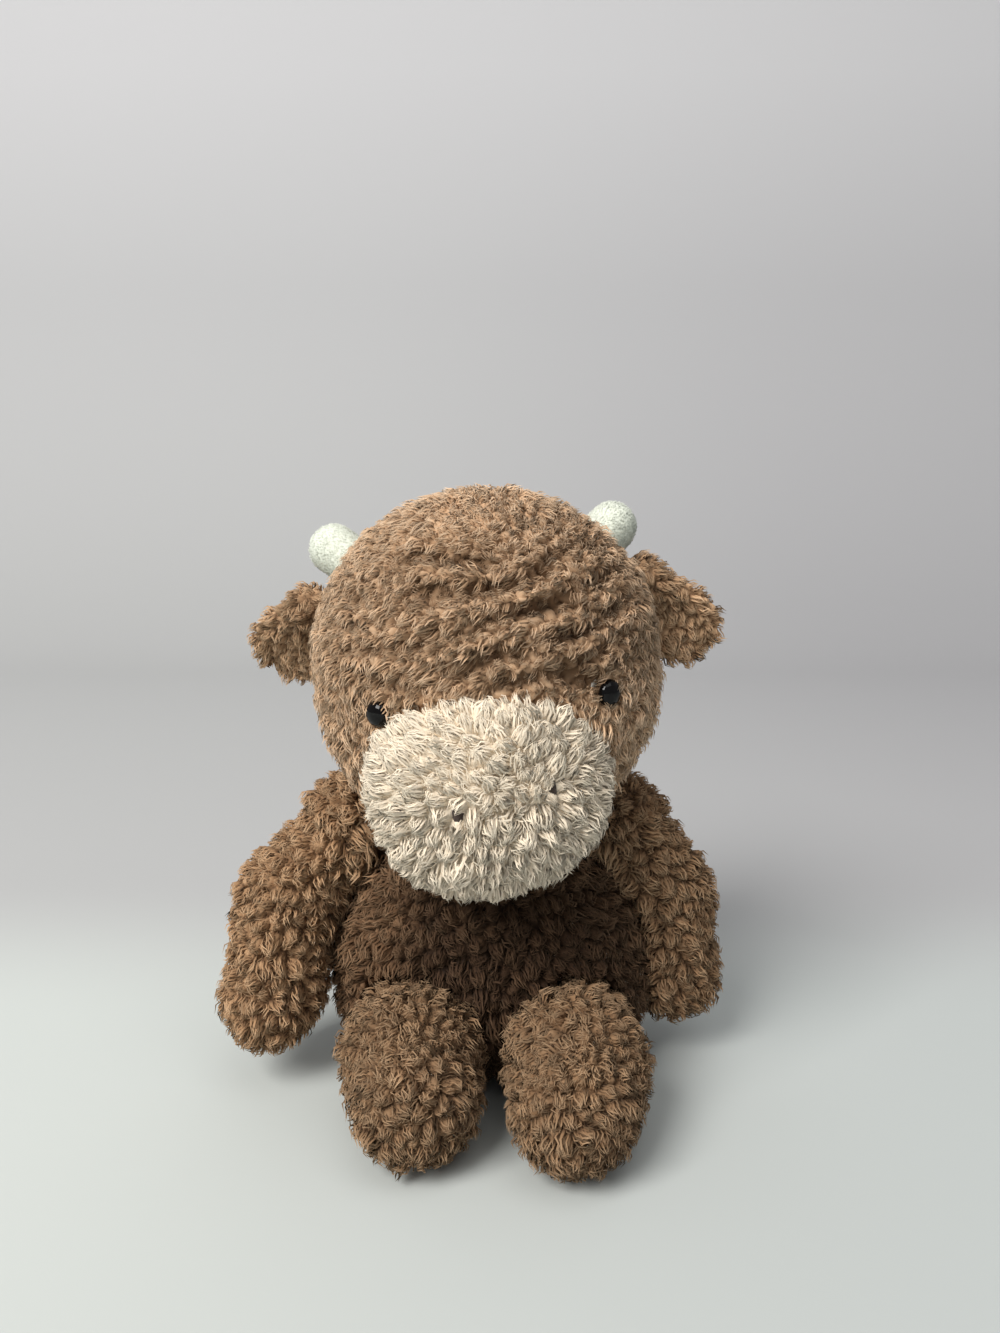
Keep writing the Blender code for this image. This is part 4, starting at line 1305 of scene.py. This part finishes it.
def furrows_of_head(points, local):
    """Where the forehead is, how deep and how swollen it is furrowed, and each point's row.

    The furrows are strongest at one side of the forehead and break off here and there.
    """
    forehead = rising(-local[:, 1] / HEAD_DEPTH, *FOREHEAD_FRONT) * rising(local[:, 2], *FOREHEAD_FOOT)
    forehead *= 1 - rising(local[:, 2], *FOREHEAD_TOP)
    sideways = (local[:, 0] - STRONG_SIDE) / STRONG_WIDTH
    upwards = (local[:, 2] - STRONG_RISE) / STRONG_HEIGHT
    strong = np.exp(-(sideways**2 + upwards**2))
    wobble = noise_at(points, 0.022, 11) * 0.40 + noise_at(points, 0.009, 12) * 0.16
    rows = (local[:, 2] - local[:, 0] * FURROW_SLOPE) / FURROW_SPACING + wobble
    tread = rows - np.floor(rows)
    crease = bump(np.minimum(tread, 1 - tread) * FURROW_SPACING, FURROW_WIDTH)
    broken = np.clip(0.75 + noise_at(points, 0.014, 13) * 0.9, 0, 1)
    share = forehead * np.clip(0.25 + 0.85 * strong, 0, 1) * broken
    row = np.floor(rows) * (share > 0.3)
    return forehead, share * crease, share * (1 - tread) * (1 - crease), row


def head_pile():
    backing = evened(head_backing(BACKING_DEPTH), grain=0.00095, lump=0.0006, seed=3)
    points = places(backing.data)
    local = local_places(points, HEAD_PLACING)
    forehead, depth, swell, row = furrows_of_head(points, local)
    brow_start, brow_end = [HEAD.at(seen_from_middle(*end))[0] for end in BROW_ENDS]
    from_brow = away_from_line(points, brow_start, brow_end)
    depth = np.maximum(depth, BROW_FOLD * bump(from_brow, BROW_WIDTH))
    pressed = swell * FURROW_SWELL - depth * FURROW_DEPTH
    put_places(backing.data, points + normals_of(backing.data) * pressed[:, None])
    lay = Lay(backing, "head")
    outwards = lay.points - np.array(MUZZLE_PLACING.translation)
    lay.comb = DOWN * 0.9 + FORWARD * 0.35 + flattened(outwards, lay.normals) * 0.25
    lay.turn(size=0.012, strength=1.1, seed=21)
    lay.turn(size=0.005, strength=1.1, seed=22)
    head_axes = HEAD_PLACING.to_3x3()
    along_furrows = np.array(head_axes @ Vector((-1, 0, -FURROW_SLOPE)))
    along_brow = np.array((brow_start - brow_end).normalized())
    by_brow = bump(from_brow, BROW_COMB_WIDTH)
    lay.comb = lay.comb + along_furrows * (1.5 * forehead * (1 - by_brow))[:, None]
    lay.comb = lay.comb + along_brow * (2.5 * by_brow)[:, None]
    lay.vary(size=0.0065, length=0.12, tone=0.05, seed=23)
    lay.vary(size=0.03, length=0.04, tone=0.04, seed=24)
    lay.length *= 1 - 0.7 * np.minimum(depth, 1)
    by_shoulder = rising(np.abs(local[:, 0]), *HEAD_FOOT_SIDE) * rising(local[:, 1], *HEAD_FOOT_BACK)
    lay.length *= 1 + (0.3 + 0.5 * by_shoulder) * rising(-local[:, 2], *HEAD_FOOT)
    # Painted shade darkens the furrows and the brow crease, and painted light lightens the ridges between the
    # furrows
    lay.tone += 0.06 + 0.18 * swell - 1.7 * depth
    # Painted light lightens the crown, and painted shade darkens the forehead
    lay.tone += 0.10 * rising(local[:, 2], *CROWN_LIGHT) - 0.11 * forehead
    lay.cover *= 1 - 0.72 * np.minimum(depth, 1)
    # Painted light lightens the lower cheek on the head's +X side
    lay.tone += 0.17 * rising(local[:, 0], *CHEEK_LIGHT_SIDE) * rising(-local[:, 2], *CHEEK_LIGHT_TOP)
    lay.clear_where(MUZZLE.depth(lay.points) > 0.0)
    lay.clear_where(away_from(lay.points, NECK_PIVOT) < NECK_RADIUS + BACKING_DEPTH + NECK_SEAM)
    for side in SIDES:
        eye_place = eye_placing(side) @ Vector((0, 0, EYE_RIM))
        lay.clear_round(eye_place, EYE_RADIUS - EYE_LAP, EYE_RADIUS + SHORT_PILE_REACH, shortest=0.85)
        reach = EAR_ROOT_RADIUS + SHORT_PILE_REACH
        lay.clear_round(ear_root(side), EAR_ROOT_RADIUS + EAR_SEAM, reach, least=0.2)
        place, normal = horn_foot(side)
        sunk = place - normal * BACKING_DEPTH
        lay.clear_round(sunk, HORN_ROOT_RADIUS - HORN_LAP, HORN_ROOT_RADIUS + SHORT_PILE_REACH)
    rows_apart = head_axes @ Matrix.Diagonal((0.78, 1, 1.25)) @ head_axes.inverted()
    brow_line = (brow_end - brow_start).normalized()
    up_from_brow = np.array(head_axes @ Vector((0, 0, 1))) - np.array(brow_line) * brow_line.z
    over_brow = ((lay.points - np.array(brow_start)) @ up_from_brow > 0) & (from_brow < BROW_REACH)
    lay.curl_up(25, rows_apart, row + 50 * over_brow)
    return finished(lay, "head_pile", 31, "head", "head_pile", "head_cover", "head_stuffing", fill=0.9)


def muzzle_pile():
    lay = Lay(evened(muzzle_backing(BACKING_DEPTH), grain=0.00085, lump=0.0009, seed=5), "muzzle")
    middle, _ = MUZZLE.at(Vector((0.05, -1, 0.05)))
    height = local_places(lay.points, MUZZLE_PLACING)[:, 2]
    upper = eased((height + BRIDGE_DROP + BRIDGE_UNEVEN * noise_at(lay.points, 0.010, 46)) / BRIDGE_FADE)
    outer = rising(away_from(lay.points, middle), *MUZZLE_MIDDLE)
    lay.comb = flattened(lay.points - np.array(middle), lay.normals) * (0.9 * outer)[:, None]
    lay.comb += mixed(DOWN, np.array((-0.45, 0, 0.75)), upper[:, None])
    lay.turn(size=0.009, strength=0.9, seed=41)
    lay.turn(size=0.0045, strength=0.8, seed=42)
    lay.slant = mixed(0.8, 1.2, upper)
    lay.parting = mixed(1.0, 0.65, upper)
    lay.vary(size=0.0055, length=0.12, tone=0.08, seed=43)
    lay.length *= mixed(1.12, 0.90, upper)
    # Painted light lightens the upper muzzle
    lay.tone += 0.17 * upper - 0.04
    lay.clear_where(HEAD.depth(lay.points) > BACKING_DEPTH - MUZZLE_LAP)
    for side in SIDES:
        lay.clear_round(nostril_placing(side).translation, *NOSTRIL_CLEAR, shortest=0.45)
    lay.curl_up(45)
    nodes = ("muzzle_cover", "muzzle_stuffing")
    return finished(lay, "muzzle_pile", 51, "head", "muzzle_pile", *nodes, fill=0.85)


def horn_pile(side):
    lay = Lay(evened(horn_backing(side, HORN_BACKING_DEPTH), grain=0.0007), "horn")
    lay.comb_along(horn_foot(side)[1])
    lay.turn(size=0.005, strength=0.8, seed=61)
    lay.vary(size=0.003, length=0.08, tone=0.06, seed=62)
    lay.clear_where(HEAD.depth(lay.points) > BACKING_DEPTH)
    lay.curl_up(65)
    nodes = (f"horn_{side}_cover", f"horn_{side}_stuffing")
    return finished(lay, f"horn_{side}_pile", 63, "head", "horn_pile", *nodes, fill=0.95)


def ear_pile(side):
    lay = Lay(evened(ear_backing(side, EAR_BACKING_DEPTH), grain=0.0009, lump=0.0004, seed=7), "ear")
    out, across, front = [np.array(axis) for axis in ear_axes(side)]
    away = lay.points - np.array(ear_root(side))
    sideways = (away @ across)[:, None] * across / (EAR_WIDTH / 2)
    lay.comb = out + sideways * 0.8 + DOWN * 0.3
    lay.turn(size=0.010, strength=1.0, seed=71)
    lay.turn(size=0.005, strength=0.6, seed=72)
    lay.vary(size=0.006, length=0.12, tone=0.06, seed=73)
    # Painted shade darkens the cup of the ear, most near the head
    shaded_cup = rising(away @ front, *EAR_HOLLOW_FRONT) * (np.abs(sideways).sum(1) < 0.7)
    lay.tone -= shaded_cup * mixed(0.36, 0.06, rising(away @ out, *EAR_HOLLOW_END))
    lay.clear_where(HEAD.depth(lay.points) > BACKING_DEPTH)
    lay.curl_up(76)
    nodes = (f"ear_{side}_front", f"ear_{side}_back")
    return finished(lay, f"ear_{side}_pile", 75, f"ear_{side}", "ear_pile", *nodes, fill=0.3)


def eye_bead(side):
    """A fuller dome than the solid's, with its rolled rim and ridged shank."""
    profile = [(0, EYE_DOME)]
    for row in range(1, DOME_ROWS + 1):
        angle = pi / 2 * row / DOME_ROWS
        profile.append((EYE_RADIUS * sin(angle), mixed(EYE_RIM, EYE_DOME, cos(angle))))
    for row in range(1, RIM_ROWS):
        angle = pi * row / RIM_ROWS
        rolled = EYE_RIM * 0.35 * (1 - sin(angle)) * (2 * row >= RIM_ROWS)
        profile.append((EYE_RADIUS - rolled, EYE_RIM * (1 + cos(angle)) / 2))
    profile += [(EYE_RADIUS - EYE_RIM / 2, 0), (SHANK_RADIUS, 0)]
    plain_length = SHANK_LENGTH - SHANK_PITCH * (SHANK_RIDGES + 1)
    for ridge in range(SHANK_RIDGES):
        step = -plain_length - SHANK_PITCH * ridge
        profile.append((SHANK_RADIUS, step))
        profile.append((SHANK_RADIUS + SHANK_RIDGE, step - SHANK_RIDGE))
        profile.append((SHANK_RADIUS, step - SHANK_PITCH + SHANK_RIDGE))
    profile += [(SHANK_RADIUS - SHANK_RIDGE, -SHANK_LENGTH), (0, -SHANK_LENGTH)]
    bead = turned(f"eye_{side}_bead", profile, EYE_SIDES, eye_placing(side))
    bead.data.materials.append(FINISHES["eye_black"])
    bead.data.shade_smooth()
    bead.data.set_sharp_from_angle(angle=radians(50))
    return settled(bead, "head", "eye_plastic", f"eye_{side}")


def stitch_tree():
    """Lays side-by-side stitches across an oval, each one an arch of thread."""
    kinds = {
        "Placeholder": "Geometry", "Width": "Float", "Height": "Float", "Crown": "Float",
        "Thread Radius": "Float", "Stitches": "Int", "Thread": "Material",
    }
    tree, given = new_tree("satin_stitches", kinds, "Nostril")
    half_height = figured(tree, "MULTIPLY", given["Height"], 0.5)
    low, high = [
        linked(tree, "ShaderNodeCombineXYZ", {"Y": figured(tree, "MULTIPLY", half_height, end)})[0]
        for end in (-0.96, 0.96)
    ]
    line = linked(tree, "GeometryNodeCurvePrimitiveLine", {"Start": low, "End": high})[0]
    inputs = {"Curve": line, "Count": given["Stitches"]}
    spots = linked(tree, "GeometryNodeCurveToPoints", inputs, mode="COUNT")["Points"]
    arch = linked(
        tree,
        "GeometryNodeCurvePrimitiveBezierSegment",
        {
            "Resolution": 7,
            "Start": (-0.5, 0, -0.25),
            "Start Handle": (-0.42, 0, 0.62),
            "End Handle": (0.42, 0, 0.62),
            "End": (0.5, 0, -0.25),
        },
        mode="POSITION",
    )[0]
    place = linked(tree, "GeometryNodeInputPosition", {})[0]
    up = linked(tree, "ShaderNodeSeparateXYZ", {"Vector": place})["Y"]
    share = figured(tree, "DIVIDE", up, half_height)
    squared = figured(tree, "MULTIPLY", share, share)
    width_share = figured(tree, "SQRT", figured(tree, "SUBTRACT", 1.0, squared))
    crown_share = figured(tree, "MULTIPLY", width_share, 1.6)
    stretch = {
        "X": figured(tree, "MULTIPLY", given["Width"], width_share),
        "Y": given["Width"],
        "Z": figured(tree, "MULTIPLY", given["Crown"], crown_share),
    }
    inputs = {"Points": spots, "Instance": arch, "Scale": linked(tree, "ShaderNodeCombineXYZ", stretch)[0]}
    laid = linked(tree, "GeometryNodeInstanceOnPoints", inputs)[0]
    real = linked(tree, "GeometryNodeRealizeInstances", {"Geometry": laid})[0]
    inputs = {"Resolution": 6, "Radius": given["Thread Radius"]}
    ring = linked(tree, "GeometryNodeCurvePrimitiveCircle", inputs, mode="RADIUS")[0]
    inputs = {"Curve": real, "Profile Curve": ring, "Fill Caps": True}
    end_tree(tree, linked(tree, "GeometryNodeCurveToMesh", inputs)[0], given["Thread"])
    return tree


def nostril_stitches(side, tree):
    name = f"nostril_{side}_stitches"
    values = {
        "Width": NOSTRIL_WIDTH,
        "Height": NOSTRIL_HEIGHT,
        "Crown": NOSTRIL_CROWN,
        "Thread Radius": THREAD_RADIUS,
        "Stitches": NOSTRIL_STITCHES,
        "Thread": FINISHES["nostril_brown"],
    }
    piece = shaped_by(tree, placed(name, bpy.data.meshes.new(name)), values)
    piece.data.transform(nostril_placing(side))
    piece.data.name = name
    return settled(piece, "head", "nostril_thread", f"nostril_{side}")


# Body and limbs


def drawn_along(axis, share):
    """Curls are longer along an axis: distances that way count for less."""
    line = np.array(axis)
    return np.eye(3) - np.outer(line, line) * (1 - share)


def body_pile():
    lay = Lay(evened(body_backing(BACKING_DEPTH), grain=0.0010, lump=0.0009, seed=9), "body")
    x, y, z = lay.points.T
    lay.turn(size=0.010, strength=1.3, seed=81)
    lay.turn(size=0.005, strength=1.2, seed=82)
    lay.vary(size=0.0075, length=0.14, tone=0.04, seed=83)
    # Painted shade darkens the chest below the head, most low down and least on the lit right flank
    shaded_front = rising(-y / (BODY_DEPTH / 2), *BODY_FRONT)
    lit_right_flank = rising(-x, *BODY_RIGHT)
    lay.tone -= shaded_front * mixed(0.44, 0.20, lit_right_flank) * mixed(1.12, 0.88, rising(z, *CHEST))
    by_shoulder = rising(np.abs(x), *SHOULDER_SIDE) * rising(z, *SHOULDER_TOP)
    lay.length *= 1 + 0.25 * rising(z, *NECK_FOOT) + 0.55 * by_shoulder
    lay.clear_where(HEAD.depth(lay.points) > 0.002)
    for side in SIDES:
        at_shoulder = away_from(lay.points, shoulder(side))
        lay.clear_where(at_shoulder < ARM_ROOT_RADIUS + BACKING_DEPTH + SHOULDER_SEAM)
        at_hip = away_from(lay.points, hip(side))
        lay.clear_where(at_hip < LEG_ROOT_RADIUS + BACKING_DEPTH + HIP_SEAM)
        from_arm = away_from_line(lay.points, shoulder(side), paw(side))
        lay.length *= 1 + 0.3 * (1 - rising(from_arm, ARM_PAW_RADIUS, ARM_REACH)) * (z > WAIST)
    lay.clear_round(TAIL_ROOT, TAIL_ROOT_RADIUS + TAIL_SEAM, TAIL_ROOT_RADIUS + TAIL_SHORT_PILE)
    lay.thin_underneath()
    lay.curl_up(86, drawn_along(DOWN, 0.8))
    nodes = ("body_cover", "body_stuffing", "bean_pouch")
    return finished(lay, "body_pile", 85, "torso", "body_pile", *nodes, fill=0.8)


def arm_pile(side):
    lay = Lay(evened(arm_backing(side, BACKING_DEPTH), grain=0.0010, lump=0.0008, seed=13), "limb")
    along = (paw(side) - shoulder(side)).normalized()
    lay.comb_along(along)
    lay.turn(size=0.010, strength=1.2, seed=91)
    lay.turn(size=0.005, strength=1.3, seed=92)
    # Painted light or shade on this arm
    lay.tone += ARM_LIGHT_AND_SHADE[side]
    lay.vary(size=0.0075, length=0.14, tone=0.06, seed=93)
    outwards = (lay.points - np.array(shoulder(side)))[:, 0] * SIDES[side]
    in_socket = away_from(lay.points, shoulder(side)) < ARM_ROOT_RADIUS
    lay.clear_where(in_socket & (outwards < -ARM_ROOT_RADIUS * 0.5))
    z = lay.points[:, 2]
    lay.length *= 1 + 0.3 * (rising(BODY.depth(lay.points), *ARM_FLANK) * (z > WAIST))
    lay.length *= 1 + 0.6 * (rising(z, *ARM_TOP) * eased(0.5 - outwards / ARM_REACH))
    lay.curl_up(96, drawn_along(along, 0.85))
    nodes = (f"arm_{side}_cover", f"arm_{side}_stuffing")
    return finished(lay, f"arm_{side}_pile", 95, f"arm_{side}", "limb_pile", *nodes, fill=0.75)


def leg_pile(side):
    backing = combined(leg_backing(side, BACKING_DEPTH), slab_below(FLAT_HEIGHT))
    lay = Lay(evened(backing, grain=0.0010, lump=0.0008, seed=17), "limb")
    lay.comb_along((0.0, -1.0, -0.35))
    lay.turn(size=0.010, strength=1.4, seed=101)
    lay.turn(size=0.005, strength=1.3, seed=102)
    # Painted shade on the legs
    lay.tone += LEG_SHADE
    lay.vary(size=0.0075, length=0.14, tone=0.06, seed=103)
    in_socket = away_from(lay.points, hip(side)) < LEG_ROOT_RADIUS
    from_hip = lay.points - np.array(hip(side))
    lay.clear_where(in_socket & (from_hip[:, 1] > LEG_ROOT_RADIUS * 0.5))
    lay.thin_underneath()
    lay.curl_up(106)
    nodes = (f"leg_{side}_cover", f"leg_{side}_stuffing")
    return finished(lay, f"leg_{side}_pile", 105, f"leg_{side}", "limb_pile", *nodes, fill=0.75)


def tail_pile():
    lay = Lay(evened(tail_backing(TAIL_BACKING_DEPTH), grain=0.0007), "tail")
    lay.turn(size=0.006, strength=0.5, seed=111)
    lay.vary(size=0.004, length=0.12, tone=0.05, seed=112)
    lay.length *= mixed(1.0, 0.55, rising(lay.points[:, 2], TAIL_END.z, 0.008))
    lay.clear_where(BODY.depth(lay.points) > 0.0005)
    lay.curl_up(115)
    return finished(lay, "tail_pile", 113, "tail", "body_pile", "tail", "tail_tuft", fill=0.5)


# Table, light and camera

LAMP_TARGET = Vector((0, 0, 0.09))
CAMERA_PLACE = (0.0026, -0.330, 0.198)
CAMERA_TILT = radians(80)
TABLE_REACH = 0.75
TABLE_CURVE = 0.5
TABLE_CURVE_ROWS = 16
TABLE_COLUMNS = (-2.0, -1.0, -0.4, 0.0, 0.4, 1.0, 2.0)


def sweep():
    """A pale table top that runs back and curves up into a wall."""
    profile = [(-1.6, 0.0), (-0.6, 0.0), (0.0, 0.0), (TABLE_REACH, 0.0)]
    for row in range(1, TABLE_CURVE_ROWS + 1):
        angle = pi / 2 * row / TABLE_CURVE_ROWS
        profile.append((TABLE_REACH + TABLE_CURVE * sin(angle), TABLE_CURVE - TABLE_CURVE * cos(angle)))
    profile += [(TABLE_REACH + TABLE_CURVE, height) for height in (1.2, 2.4)]
    wide = len(TABLE_COLUMNS)
    firsts = [row * wide + column for row in range(len(profile) - 1) for column in range(wide - 1)]
    faces = [(first, first + 1, first + wide + 1, first + wide) for first in firsts]
    mesh = bpy.data.meshes.new("table_sweep")
    mesh.from_pydata([(x, y, z) for y, z in profile for x in TABLE_COLUMNS], [], faces)
    mesh.shade_smooth()
    mesh.materials.append(sweep_finish())
    placed("table_sweep", mesh)


def sweep_finish():
    """Off-white near the toy, passing to a pale grey wall further back; painted shade greys it further back
    and darkens it towards +X, and painted light brightens the wall higher up.
    """
    finish, tree, place = new_finish("table_white")
    parts = linked(tree, "ShaderNodeSeparateXYZ", {"Vector": place})

    def across(low, high, left, right):
        return graded(tree, ranged(tree, parts["X"], low, high), ((0.0, linear(left)), (1.0, linear(right))))

    # Painted shade greys the table further back and darkens table and wall towards +X; painted light
    # brightens the wall higher up
    far = ranged(tree, parts["Y"], 0.02, 0.16, interpolation_type="SMOOTHSTEP")
    table = across(-0.2, 0.2, (198, 203, 200), (184, 189, 188))
    shaded_low_wall = across(-0.3, 0.5, (180, 181, 181), (172, 172, 174))
    wall = blended(tree, ranged(tree, parts["Z"], 0.05, 0.8), shaded_low_wall, linear((200, 200, 202)))
    values = {"Base Color": blended(tree, far, table, wall), "Roughness": 0.8, "Specular IOR Level": 0.1}
    return shaded(finish, values)


def lamp(name, place, power, size, colour):
    light = bpy.data.lights.new(name, "AREA")
    light.energy = power
    light.size = size
    light.color = colour
    made = placed(name, light)
    made.location = place
    made.rotation_euler = (LAMP_TARGET - Vector(place)).to_track_quat("-Z", "Y").to_euler()


def light_and_camera():
    """A big window up to the left, a soft ceiling, and the photographer's place."""
    lamp("window", place=(-1.35, -1.65, 2.1), power=98.0, size=1.4, colour=(1.0, 0.975, 0.94))
    lamp("ceiling", place=(0.6, -1.0, 2.9), power=22.0, size=2.2, colour=(1.0, 0.985, 0.96))
    world = bpy.data.worlds.new("room_light")
    bpy.context.scene.world = world
    world.use_nodes = True
    sky = world.node_tree.nodes["Background"]
    sky.inputs["Color"].default_value = (0.95, 0.97, 1.0, 1)
    sky.inputs["Strength"].default_value = 0.30
    camera = bpy.data.cameras.new("camera")
    camera.sensor_fit = "HORIZONTAL"
    camera.sensor_width = 36
    camera.lens = 36
    made = placed("camera", camera)
    made.location = CAMERA_PLACE
    made.rotation_euler = (CAMERA_TILT, 0, 0)
    bpy.context.scene.camera = made
    bpy.context.scene.view_settings.view_transform = "Standard"


# Putting it together

FINISHES = {name: pile_finish(name) for name in PILE_COLOURS}
FINISHES["eye_black"] = eye_finish()
FINISHES["washer_white"] = washer_finish()
FINISHES["nostril_brown"] = thread_finish()
PLANTING = planting_tree()
LOCKS = {name: locks_of(name) for name in PILES}

light_and_camera()
sweep()
body_pile()
head_pile()
muzzle_pile()
STITCHES = stitch_tree()
for side in SIDES:
    ear_pile(side)
    horn_pile(side)
    eye_bead(side)
    nostril_stitches(side, STITCHES)
    arm_pile(side)
    leg_pile(side)
    washer = frame["nodes"][f"eye_washer_{side}"]
    washer.material_slots[0].material = FINISHES["washer_white"]
tail_pile()
for kept in LOCKS.values():
    for lock in list(kept.objects):
        bpy.data.objects.remove(lock)
    bpy.data.collections.remove(kept)
